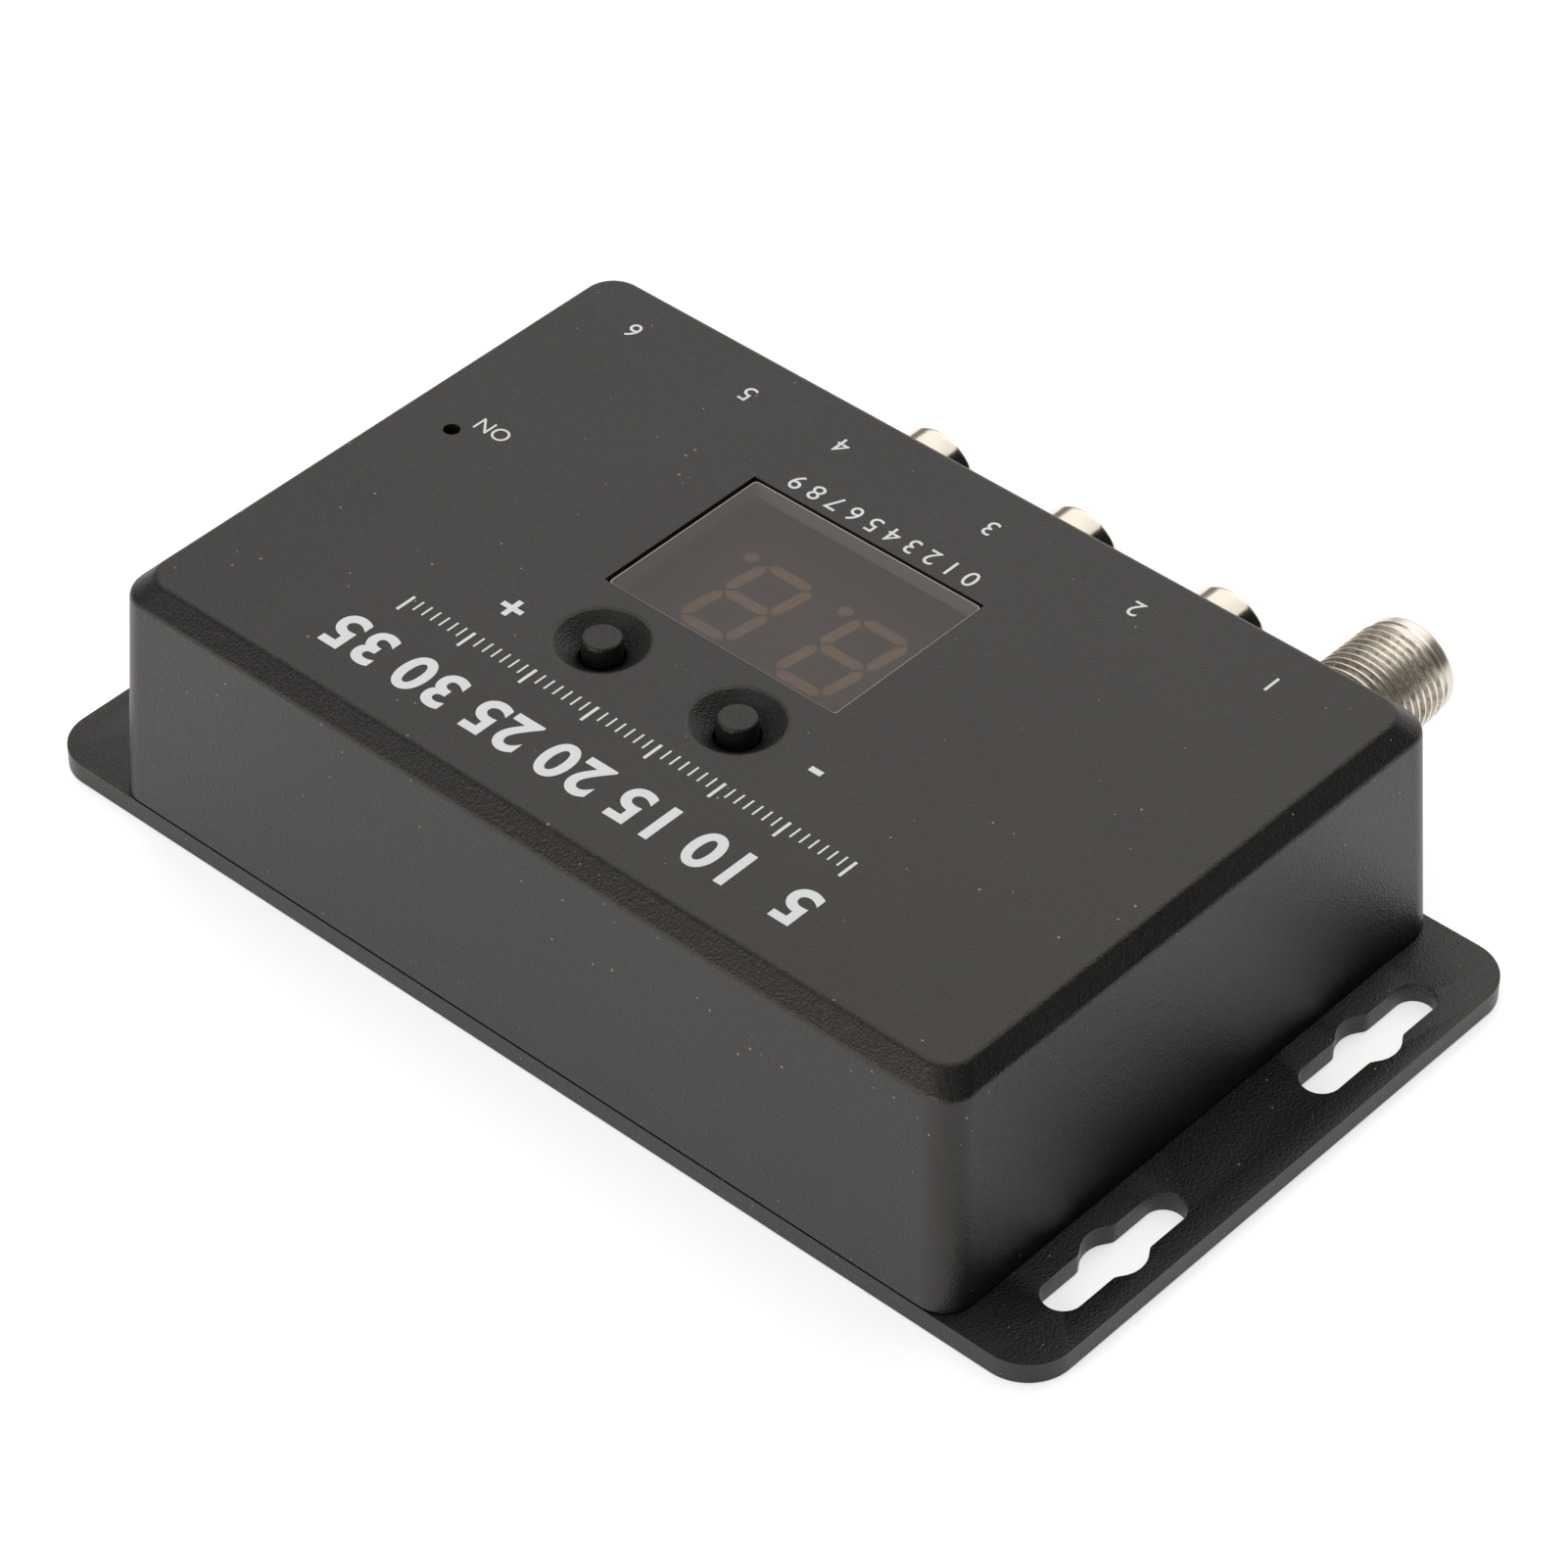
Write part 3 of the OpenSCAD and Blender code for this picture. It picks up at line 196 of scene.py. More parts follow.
def use(piece, other, how="DIFFERENCE"):
    """Cuts another shape out of a piece, or joins it on, and takes the other away."""
    bpy.ops.object.select_all(action="DESELECT")
    bpy.context.view_layer.objects.active = piece
    piece.select_set(True)
    change = piece.modifiers.new("cut", "BOOLEAN")
    change.operation = how
    change.solver = "EXACT"
    change.object = other
    bpy.ops.object.modifier_apply(modifier=change.name)
    bpy.data.objects.remove(other)


def ease_edges(piece, width, steps, sharper_than):
    """Rounds every edge sharper than an angle, then shades the piece smooth."""
    bpy.ops.object.select_all(action="DESELECT")
    bpy.context.view_layer.objects.active = piece
    piece.select_set(True)
    ease = piece.modifiers.new("ease", "BEVEL")
    ease.width = width
    ease.segments = steps
    ease.limit_method = "ANGLE"
    ease.angle_limit = math.radians(sharper_than)
    bpy.ops.object.modifier_apply(modifier=ease.name)
    smooth(piece)


def smooth(piece, angle=32):
    bpy.ops.object.select_all(action="DESELECT")
    bpy.context.view_layer.objects.active = piece
    piece.select_set(True)
    bpy.ops.object.shade_smooth_by_angle(angle=math.radians(angle))
    even = piece.modifiers.new("even", "WEIGHTED_NORMAL")
    even.keep_sharp = True
    bpy.ops.object.modifier_apply(modifier=even.name)


def fit(piece, finish, body, slot, *nodes):
    """Gives a finished piece its material, its body and the nodes that it stands for."""
    piece.data.materials.clear()
    piece.data.materials.append(finish)
    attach(piece, body)
    if nodes:
        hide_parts(*nodes)


low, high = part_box("base_plate")
plate_top, plate_corner = 0.002, 0.0043
plate_ease = 0.00016
plate = block("mounting_plate", (low.x, low.y, low.z), (high.x, high.y, plate_top))
bpy.ops.object.mode_set(mode="EDIT")
pick("EDGE", upright)
bpy.ops.mesh.bevel(offset=plate_corner, segments=14, affect="EDGES")
bpy.ops.object.mode_set(mode="OBJECT")

# A slot's outline is its straight sides or its round eye, whichever stands further out,
# with a soft shoulder between them. A cut runs past what it goes through by the overrun,
# and a hair is the smallest distance that counts.
slot_x, slot_y, slot_length, slot_width, slot_eye = 0.0507, 0.016, 0.016, 0.0036, 0.0054
shoulder, overrun, hair = 0.0004, 0.001, 0.00001
for x, y in ((side * slot_x, end * slot_y) for side in (-1, 1) for end in (-1, 1)):
    bpy.ops.object.select_all(action="DESELECT")
    bpy.ops.mesh.primitive_circle_add(vertices=160, radius=slot_length / 2, fill_type="NGON")
    slot = bpy.context.object
    for point in slot.data.vertices:
        along = point.co.y
        side = 1 if point.co.x >= 0 else -1
        past = max(0.0, abs(along) - (slot_length - slot_width) / 2)
        straight = math.sqrt(max(0.0, (slot_width / 2) ** 2 - past ** 2))
        eye = math.sqrt(max(0.0, (slot_eye / 2) ** 2 - along ** 2))
        soft = max(0.0, shoulder - abs(straight - eye)) ** 2 / (4 * shoulder) if eye else 0.0
        point.co = (x + side * (max(straight, eye) + soft), y + along, -overrun)
    bpy.ops.object.mode_set(mode="EDIT")
    bpy.ops.mesh.select_all(action="SELECT")
    bpy.ops.mesh.extrude_region_move(TRANSFORM_OT_translate={"value": (0, 0, plate_top + 2 * overrun)})
    bpy.ops.mesh.select_all(action="SELECT")
    bpy.ops.mesh.remove_doubles(threshold=hair)
    bpy.ops.mesh.normals_make_consistent(inside=False)
    bpy.ops.object.mode_set(mode="OBJECT")
    use(plate, slot)
ease_edges(plate, plate_ease, 3, 40)

post_places = [(-0.0402, 0.013), (0.0402, 0.013), (-0.0112, -0.020), (0.0303, -0.020)]
post_top, post_radius, post_root = 0.00552, 0.0024, 0.0005
pilot_foot, pilot_radius, pilot_length = 0.0008, 0.00105, 0.006
for x, y in post_places:
    use(plate, rod("post", (x, y, plate_top - post_root), post_radius,
                   post_top - plate_top + post_root, sides=40), "UNION")
for x, y in post_places:
    use(plate, rod("pilot", (x, y, pilot_foot), pilot_radius, pilot_length, sides=24))


def moulded_grain_group():
    """Spark-eroded grain of a mould: fine bumps, a slow mottle and sparse dust."""
    group = bpy.data.node_groups.new("moulded grain", "ShaderNodeTree")
    group.interface.new_socket("Vector", in_out="INPUT", socket_type="NodeSocketVector")
    group.interface.new_socket("Grains per metre", in_out="INPUT", socket_type="NodeSocketFloat")
    group.interface.new_socket("Dust", in_out="INPUT", socket_type="NodeSocketFloat")
    for name in ("Height", "Mottle", "Dust mask"):
        group.interface.new_socket(name, in_out="OUTPUT", socket_type="NodeSocketFloat")
    inside = group.nodes.new("NodeGroupInput")
    outside = group.nodes.new("NodeGroupOutput")
    join = group.links.new
    grains = add_node(group, "ShaderNodeTexNoise", Detail=3.0, Roughness=0.62)
    pits = add_node(group, "ShaderNodeTexVoronoi", {"feature": "SMOOTH_F1"}, Smoothness=0.6)
    finer = add_node(group, "ShaderNodeMath", {"operation": "MULTIPLY"})
    finer.inputs[1].default_value = 0.8
    blend = add_node(group, "ShaderNodeMath", {"operation": "MULTIPLY_ADD"})
    blend.inputs[1].default_value = 0.35
    mottle = add_node(group, "ShaderNodeTexNoise", Scale=46.0, Detail=2.0, Roughness=0.5)
    specks = add_node(group, "ShaderNodeTexVoronoi", Scale=900.0, Randomness=1.0)
    speck_size = add_node(group, "ShaderNodeMath", {"operation": "LESS_THAN"})
    speck_pick = add_node(group, "ShaderNodeSeparateColor")
    speck_near = add_node(group, "ShaderNodeMath", {"operation": "MULTIPLY"})
    speck_near.inputs[1].default_value = 0.11
    speck_some = add_node(group, "ShaderNodeMath", {"operation": "LESS_THAN"})
    speck_mask = add_node(group, "ShaderNodeMath", {"operation": "MULTIPLY"})
    for texture in (grains, pits, mottle, specks):
        join(inside.outputs["Vector"], texture.inputs["Vector"])
    join(inside.outputs["Grains per metre"], grains.inputs["Scale"])
    join(inside.outputs["Grains per metre"], finer.inputs[0])
    join(finer.outputs[0], pits.inputs["Scale"])
    join(pits.outputs["Distance"], blend.inputs[0])
    join(grains.outputs["Fac"], blend.inputs[2])
    join(blend.outputs[0], outside.inputs["Height"])
    join(mottle.outputs["Fac"], outside.inputs["Mottle"])
    join(specks.outputs["Color"], speck_pick.inputs[0])
    join(speck_pick.outputs[0], speck_some.inputs[0])
    join(inside.outputs["Dust"], speck_some.inputs[1])
    join(speck_pick.outputs[1], speck_near.inputs[0])
    join(specks.outputs["Distance"], speck_size.inputs[0])
    join(speck_near.outputs[0], speck_size.inputs[1])
    join(speck_some.outputs[0], speck_mask.inputs[0])
    join(speck_size.outputs[0], speck_mask.inputs[1])
    join(speck_mask.outputs[0], outside.inputs["Dust mask"])
    return group


moulded_grain = moulded_grain_group()


def plastic(name, dark, light, grains, depth, rough, dust=0.0, gloss=0.5, sheen=(1, 1, 1)):
    """Moulded plastic: colour between two shades, grain of a given pitch and depth."""
    finish, tree, wire = new_finish(name)
    place = add_node(tree, "ShaderNodeTexCoord")
    grain = add_node(tree, "ShaderNodeGroup", {"node_tree": moulded_grain},
                     Grains_per_metre=grains, Dust=dust)
    shade = add_node(tree, "ShaderNodeMix", {"data_type": "RGBA"}, A=(*dark, 1), B=(*light, 1))
    dusty = add_node(tree, "ShaderNodeMix", {"data_type": "RGBA"}, B=(0.30, 0.26, 0.235, 1))
    uneven = add_node(tree, "ShaderNodeMapRange", To_Min=rough - 0.05, To_Max=rough + 0.07)
    bump = add_node(tree, "ShaderNodeBump", Strength=1.0, Distance=depth)
    body = add_node(tree, "ShaderNodeBsdfPrincipled", Specular_IOR_Level=gloss, Specular_Tint=(*sheen, 1))
    wire(place.outputs["Object"], grain.inputs["Vector"])
    wire(grain.outputs["Mottle"], shade.inputs["Factor"])
    wire(shade.outputs["Result"], dusty.inputs["A"])
    wire(grain.outputs["Dust mask"], dusty.inputs["Factor"])
    wire(dusty.outputs["Result"], body.inputs["Base Color"])
    wire(grain.outputs["Mottle"], uneven.inputs["Value"])
    wire(uneven.outputs["Result"], body.inputs["Roughness"])
    wire(grain.outputs["Height"], bump.inputs["Height"])
    wire(bump.outputs["Normal"], body.inputs["Normal"])
    wire(body.outputs[0], tree.nodes["Material Output"].inputs["Surface"])
    return finish


warm_sheen = (1.0, 0.93, 0.86)
plate_finish = plastic("black plate plastic", (0.0082, 0.0076, 0.0071), (0.0104, 0.0096, 0.0089),
                       4600, 0.00008, 0.36, dust=0.5, sheen=warm_sheen)
fit(plate, plate_finish, "case", "plate_black", "base_plate")


# Case top: roof and four walls in one moulding of matte black plastic. The walls lean
# in, a chamfer runs round the roof, and two dishes, a window opening, a pinhole and
# the connector openings are moulded in.
def turned(name, place, rings, sides=96):
    """A round shape drawn up ring by ring: each ring is (radius, height)."""
    bpy.ops.object.select_all(action="DESELECT")
    first = rings[0]
    bpy.ops.mesh.primitive_circle_add(vertices=sides, radius=first[0], fill_type="NGON",
                                      location=(0, 0, first[1]))
    bpy.ops.object.transform_apply(location=True, rotation=True, scale=True)
    shape = bpy.context.object
    shape.name = name
    bpy.ops.object.mode_set(mode="EDIT")
    bpy.ops.mesh.select_mode(type="FACE")
    bpy.ops.mesh.select_all(action="SELECT")
    before = first
    for ring in rings[1:]:
        bpy.ops.mesh.extrude_region_move(TRANSFORM_OT_translate={"value": (0, 0, ring[1] - before[1])})
        growth = ring[0] / before[0]
        bpy.ops.transform.resize(value=(growth, growth, 1), center_override=(0, 0, ring[1]))
        before = ring
    bpy.ops.mesh.select_all(action="SELECT")
    bpy.ops.mesh.normals_make_consistent(inside=False)
    bpy.ops.object.mode_set(mode="OBJECT")
    shape.location = place
    bpy.ops.object.transform_apply(location=True, rotation=True, scale=True)
    return shape


def resize_flat(width, depth, before):
    """In edit mode, gives what is selected a new width and depth round the origin."""
    bpy.ops.transform.resize(value=(width / before[0], depth / before[1], 1), center_override=(0, 0, 0))


def case_block(name, width, depth, bottom, bend, draft, corner, roof=None, run=0.0):
    """A drafted block with round corners, and a chamfered roof where one is asked for."""
    shape = block(name, (-width / 2, -depth / 2, bottom), (width / 2, depth / 2, bend))
    bpy.ops.object.mode_set(mode="EDIT")
    pick("FACE", lambda face: face.normal.z > 0.9)
    resize_flat(width - 2 * draft, depth - 2 * draft, (width, depth))
    pick("EDGE", upright)
    bpy.ops.mesh.bevel(offset=corner, segments=16, affect="EDGES")
    if roof:
        pick("FACE", lambda face: face.normal.z > 0.9)
        bpy.ops.mesh.extrude_region_move(TRANSFORM_OT_translate={"value": (0, 0, roof - bend)})
        inner = (width - 2 * draft, depth - 2 * draft)
        resize_flat(inner[0] - 2 * run, inner[1] - 2 * run, inner)
    bpy.ops.object.mode_set(mode="OBJECT")
    return shape


case_width, case_depth, case_top_z, case_corner = 0.0928, 0.0614, 0.025, 0.0029
rim_z, bend_z, draft, chamfer_run = 0.00212, 0.02325, 0.0011, 0.00165
roof_ease, rim_ease = 0.0003, 0.00014
case = case_block("case_top", case_width, case_depth, rim_z, bend_z, draft, case_corner,
                  case_top_z, chamfer_run)
bpy.ops.object.mode_set(mode="EDIT")
pick("EDGE", lambda edge: all(v.co.z > bend_z - hair for v in edge.verts)
     and abs(edge.verts[0].co.z - edge.verts[1].co.z) < hair)
bpy.ops.mesh.bevel(offset=roof_ease, segments=4, affect="EDGES")
pick("EDGE", lambda edge: all(v.co.z < rim_z + hair for v in edge.verts))
bpy.ops.mesh.bevel(offset=rim_ease, segments=3, affect="EDGES")
bpy.ops.object.mode_set(mode="OBJECT")
wall, ceiling_z, hollow_corner = 0.0018, 0.023, 0.0012
use(case, case_block("hollow", case_width - 2 * wall, case_depth - 2 * wall, rim_z - overrun, ceiling_z,
                     draft, hollow_corner))

boss_places = [(-0.0405, -0.011), (0.0405, -0.011), (-0.0405, 0.0248), (0.0405, 0.0248)]
boss_radius, boss_pilot, boss_drill = 0.003, 0.00125, 0.0112
for x, y in boss_places:
    use(case, rod("boss", (x, y, plate_top), boss_radius, ceiling_z + overrun - plate_top, sides=40), "UNION")
    use(case, rod("pilot", (x, y, plate_top - overrun), boss_pilot, boss_drill, sides=24))

# Each dish is a cone with an eased mouth, over a guide under the roof. Its rings go up
# from the stem's hole, measured from the roof.
panel_x, window_y = 0.0026, -0.0061
window_width, window_depth = 0.0252, 0.0182
button_x, button_y = (0.0100, -0.0048), 0.0088
dish_out, dish_in, dish_drop, dish_hole = 0.0042, 0.0020, 0.0015, 0.006
guide_radius, guide_drop, guide_length = 0.0034, 0.0012, 0.0017
for x in button_x:
    use(case, rod("guide", (x, button_y, ceiling_z - guide_drop), guide_radius, guide_length,
                  sides=48), "UNION")
    bowl = [(dish_in, -dish_hole), (dish_in, -dish_drop - 0.0001), (dish_in + 0.00012, -dish_drop + 0.00004)]
    bowl += [(dish_out - 0.0003, -0.00012), (dish_out - 0.0001, -0.00004)]
    bowl += [(dish_out + 0.0001, -0.00001), (dish_out + 0.0002, overrun)]
    bowl = [(radius, case_top_z + height) for radius, height in bowl]
    use(case, turned("bowl", (x, button_y, 0), bowl, sides=80))
window_left, window_right = panel_x - window_width / 2, panel_x + window_width / 2
window_front, window_back = window_y - window_depth / 2, window_y + window_depth / 2
use(case, block("window opening", (window_left, window_front, ceiling_z - overrun),
                (window_right, window_back, case_top_z + overrun)))
led_x, led_y, pinhole_radius, pinhole_length = 0.0384, -0.0028, 0.00075, 0.004
use(case, rod("pinhole", (led_x, led_y, ceiling_z - overrun), pinhole_radius, pinhole_length, sides=40))

# The connectors' holes are drilled through the front wall from a place behind it.
behind_wall, before_wall, drill = -0.0265, -0.032, 0.006
socket_z, board_top = 0.01462, 0.00712
phono_x = {"video": -0.0192, "left": -0.0032, "right": 0.0129}
aerial_x, repeater_x, inlet_x = -0.0332, 0.024, 0.0366
phono_hole, aerial_hole, repeater_hole = 0.00445, 0.005025, 0.0028
inlet_half, inlet_low, inlet_high = 0.0043, board_top - 0.00055, board_top + 0.00325
for x in phono_x.values():
    use(case, rod("phono hole", (x, behind_wall, socket_z), phono_hole, drill, "-Y"))
use(case, rod("aerial hole", (aerial_x, behind_wall, socket_z), aerial_hole, drill, "-Y"))
use(case, rod("repeater hole", (repeater_x, behind_wall, board_top + repeater_hole), repeater_hole, drill,
              "-Y", 48))
use(case, block("inlet hole", (inlet_x - inlet_half, before_wall, inlet_low),
                (inlet_x + inlet_half, behind_wall, inlet_high)))
smooth(case, 30)

case_finish = plastic("black case plastic", (0.0088, 0.0080, 0.0074), (0.0110, 0.0100, 0.0092),
                      4600, 0.00007, 0.35, dust=0.35, sheen=warm_sheen)
fit(case, case_finish, "case", "case_black", "top_shell")


# Case screws: self-tapping steel screws with a black zinc finish, driven up through the
# plate into the case top's bosses. The board's own screws are bright zinc.
def metal(name, shade, bright, rough, grain=900, depth=0.000004, metallic=1.0):
    """Plated or bare metal, with faint uneven polish."""
    finish, tree, wire = new_finish(name)
    place = add_node(tree, "ShaderNodeTexCoord")
    patches = add_node(tree, "ShaderNodeTexNoise", Scale=grain, Detail=4.0, Roughness=0.6)
    colour = add_node(tree, "ShaderNodeMix", {"data_type": "RGBA"}, A=(*shade, 1), B=(*bright, 1))
    uneven = add_node(tree, "ShaderNodeMapRange", To_Min=rough - 0.06, To_Max=rough + 0.08)
    bump = add_node(tree, "ShaderNodeBump", Strength=1.0, Distance=depth)
    body = add_node(tree, "ShaderNodeBsdfPrincipled", Metallic=metallic)
    wire(place.outputs["Object"], patches.inputs["Vector"])
    wire(patches.outputs["Fac"], colour.inputs["Factor"])
    wire(colour.outputs["Result"], body.inputs["Base Color"])
    wire(patches.outputs["Fac"], uneven.inputs["Value"])
    wire(uneven.outputs["Result"], body.inputs["Roughness"])
    wire(patches.outputs["Fac"], bump.inputs["Height"])
    wire(bump.outputs["Normal"], body.inputs["Normal"])
    wire(body.outputs[0], tree.nodes["Material Output"].inputs["Surface"])
    return finish


def finish_nodes(finish, *names):
    """Gives CAD nodes whose shape is right a better material."""
    for name in names:
        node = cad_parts[name]
        for slot in node.material_slots:
            slot.material = finish
        if not node.material_slots:
            node.data.materials.append(finish)


finish_nodes(metal("black zinc", (0.05, 0.05, 0.052), (0.09, 0.09, 0.095), 0.38), "case_screws")
finish_nodes(metal("zinc", (0.5, 0.51, 0.52), (0.66, 0.67, 0.68), 0.3), "board_screws")


# Boards: glass-fibre sheet under green lacquer, the main board on the plate's posts
# and the display board above it on two strips of pins.
def board_lacquer():
    """Lacquer with a faint pattern of copper tracks and the weave of the glass cloth."""
    finish, tree, wire = new_finish("green board lacquer")
    place = add_node(tree, "ShaderNodeTexCoord")
    weave = add_node(tree, "ShaderNodeTexWave", Scale=650.0, Distortion=0.4)
    tracks = add_node(tree, "ShaderNodeTexBrick", {"offset": 0.5}, Scale=95.0, Mortar_Size=0.05, Bias=-0.2,
                      Color1=(0.012, 0.11, 0.045, 1), Color2=(0.016, 0.14, 0.058, 1),
                      Mortar=(0.03, 0.2, 0.09, 1))
    bump = add_node(tree, "ShaderNodeBump", Strength=0.6, Distance=0.00001)
    body = add_node(tree, "ShaderNodeBsdfPrincipled", Roughness=0.32)
    wire(place.outputs["Object"], weave.inputs["Vector"])
    wire(place.outputs["Object"], tracks.inputs["Vector"])
    wire(tracks.outputs["Color"], body.inputs["Base Color"])
    wire(weave.outputs["Fac"], bump.inputs["Height"])
    wire(bump.outputs["Normal"], body.inputs["Normal"])
    wire(body.outputs[0], tree.nodes["Material Output"].inputs["Surface"])
    return finish


gold = metal("flash gold", (0.62, 0.42, 0.13), (0.78, 0.56, 0.22), 0.25)
tin = metal("tinned metal", (0.5, 0.5, 0.5), (0.72, 0.72, 0.71), 0.3)
moulding = plastic("black moulding", (0.016, 0.016, 0.016), (0.024, 0.024, 0.024), 5200, 0.000006, 0.34)
finish_nodes(board_lacquer(), "main_board", "display_board")
finish_nodes(moulding, "header_strips")
finish_nodes(gold, "header_pins")


# Circuit on the main board: a tinned screening can with its lid, epoxy chips, coils and
# resistors, and sleeved capacitors, soldered to the board.
chip_epoxy = plastic("chip epoxy", (0.014, 0.014, 0.015), (0.026, 0.026, 0.027), 6000, 0.00001, 0.6)
sleeve = plastic("capacitor sleeve", (0.012, 0.018, 0.06), (0.02, 0.028, 0.085), 3000, 0.000004, 0.25)
finish_nodes(tin, "shield_frame", "shield_lid", "chip_legs", "crystal_can", "led_legs", "display_pins",
             "switch_legs", "switch_covers", "switch_domes", "repeater_jack_contacts")
finish_nodes(chip_epoxy, "modulator_chip", "controller_chip", "voltage_regulator", "filter_coils",
             "chip_resistors")
finish_nodes(sleeve, "filter_capacitors")


# Phono sockets: a nickel-plated shell with a rolled mouth round a coloured insert and
# a sprung centre contact, held in a black block behind the wall.
nickel = metal("warm nickel", (0.66, 0.6, 0.5), (0.8, 0.74, 0.64), 0.16, grain=500, depth=0.000003)
insert_shades = {
    "video": plastic("yellow insert", (0.62, 0.42, 0.03), (0.74, 0.52, 0.05), 4200, 0.000005, 0.35),
    "left": plastic("white insert", (0.7, 0.69, 0.66), (0.8, 0.79, 0.76), 4200, 0.000005, 0.35),
    "right": plastic("red insert", (0.42, 0.02, 0.015), (0.52, 0.03, 0.02), 4200, 0.000005, 0.35),
}
face_y, shell_tail, shell_step, shell_length = -0.0276, -0.0015, 0.00273, 0.0088
shell_bore, shell_neck, shell_radius, bore_ring = 0.0034, 0.00375, 0.00415, 0.0030
shell_ease, mouth_start, mouth_soft, mouth_inside = 0.0001, 0.00828, 0.00035, 0.0002


def rounded_end(radius, end, soft, steps):
    """The rings of a quarter round, from a round wall over to its flat end."""
    turns = [math.radians(90 * step / steps) for step in range(1, steps + 1)]
    return [(radius - soft * (1 - math.cos(turn)), end - soft * (1 - math.sin(turn))) for turn in turns]


shell_rings = [(shell_bore, shell_tail), (shell_neck, shell_tail), (shell_neck, shell_step)]
shell_rings += [(shell_radius - shell_ease, shell_step), (shell_radius, shell_step + shell_ease)]
shell_rings += [(shell_radius, mouth_start)]
shell_rings += rounded_end(shell_radius, shell_length, mouth_soft, 5)
for step in range(1, 5):
    turn = math.radians(90 * step / 4)
    shell_rings.append((shell_bore + mouth_inside * (1 - math.sin(turn)),
                        shell_length - mouth_inside * (1 - math.cos(turn))))
shell_rings += [(shell_bore, bore_ring), (shell_bore, shell_tail + hair)]


def tube(name, place, rings, sides=96):
    """A turned tube along -Y: its rings run up the outside and back down the inside."""
    shape = turned(name, (0, 0, 0), rings, sides)
    bpy.ops.object.mode_set(mode="EDIT")
    pick("FACE", lambda face: len(face.verts) > 4)
    bpy.ops.mesh.delete(type="FACE")
    bpy.ops.mesh.select_mode(type="VERT")
    bpy.ops.mesh.select_all(action="SELECT")
    bpy.ops.mesh.remove_doubles(threshold=2 * hair)
    bpy.ops.mesh.normals_make_consistent(inside=False)
    bpy.ops.object.mode_set(mode="OBJECT")
    shape.rotation_euler = (math.pi / 2, 0, 0)
    shape.location = place
    bpy.ops.object.select_all(action="DESELECT")
    bpy.context.view_layer.objects.active = shape
    shape.select_set(True)
    bpy.ops.object.transform_apply(location=True, rotation=True, scale=True)
    return shape


leg_back, leg_foot, leg_radius, leg_length = 0.00075, 0.00452, 0.00045, 0.0064
for side, x in phono_x.items():
    shell = tube(side + "_phono_shell", (x, face_y, socket_z), shell_rings)
    smooth(shell, 40)
    fit(shell, nickel, "case", "nickel_plate", side + "_socket_shell")
    leg = rod(side + "_shell_leg", (x, face_y + leg_back, leg_foot), leg_radius, leg_length, sides=24)
    smooth(leg, 40)
    fit(leg, tin, "case", "tinned_metal")
    finish_nodes(moulding, side + "_socket_block")
    finish_nodes(insert_shades[side], side + "_socket_insert")
    finish_nodes(gold, side + "_socket_contact")


# Aerial socket: a nickel-plated casting whose barrel carries a fine thread, with a
# white insulator and a sprung contact in its middle.
aerial_radius, aerial_pitch, aerial_turns = 0.004725, 0.000794, 13
aerial_length, thread_end = 0.0157, 0.01435
core_radius = aerial_radius - 0.48 * aerial_pitch
aerial_nickel = metal("turned nickel", (0.74, 0.68, 0.58), (0.90, 0.85, 0.76), 0.3, metallic=0.82)
casting_half, casting_depth, casting_height, casting_ease = 0.0064, 0.0125, 0.013, 0.0003
bore_radius, bore_floor, eye_radius, eye_floor, bore_length = 0.0032, 0.009, 0.00105, 0.014, 0.012
casting = block("aerial_casting", (aerial_x - casting_half, face_y, board_top),
                (aerial_x + casting_half, face_y + casting_depth, board_top + casting_height))
use(casting, rod("bore", (aerial_x, face_y + bore_floor, socket_z), bore_radius, bore_length, "-Y"))
use(casting, rod("contact hole", (aerial_x, face_y + eye_floor, socket_z), eye_radius, bore_length, "-Y", 40))
ease_edges(casting, casting_ease, 3, 40)
peg_x, peg_y, peg_foot, peg_radius, peg_length = 0.0049, (0.0015, 0.011), 0.00402, 0.0006, 0.0037
for x, y in ((side * peg_x, y) for y in peg_y for side in (-1, 1)):
    use(casting, rod("peg", (aerial_x + x, face_y + y, peg_foot), peg_radius, peg_length, sides=24), "UNION")
smooth(casting, 40)
fit(casting, nickel, "case", "nickel_plate", "aerial_socket_body")

nose_radius, nose_soft, barrel_tail, barrel_mouth = 0.0045, 0.00075, -0.0003, 0.00345
barrel_rings = [(bore_radius, barrel_tail), (core_radius, barrel_tail)]
barrel_rings += [(core_radius, thread_end - 0.00012), (nose_radius, thread_end)]
barrel_rings += rounded_end(nose_radius, aerial_length, nose_soft, 10)
barrel_rings += [(barrel_mouth, aerial_length), (bore_radius + 0.0001, aerial_length - 0.0001)]
barrel_rings += [(bore_radius, aerial_length - 0.00025)]
barrel = tube("aerial_barrel", (aerial_x, face_y, socket_z), barrel_rings, 120)
smooth(barrel, 40)
fit(barrel, aerial_nickel, "case", "nickel_plate")

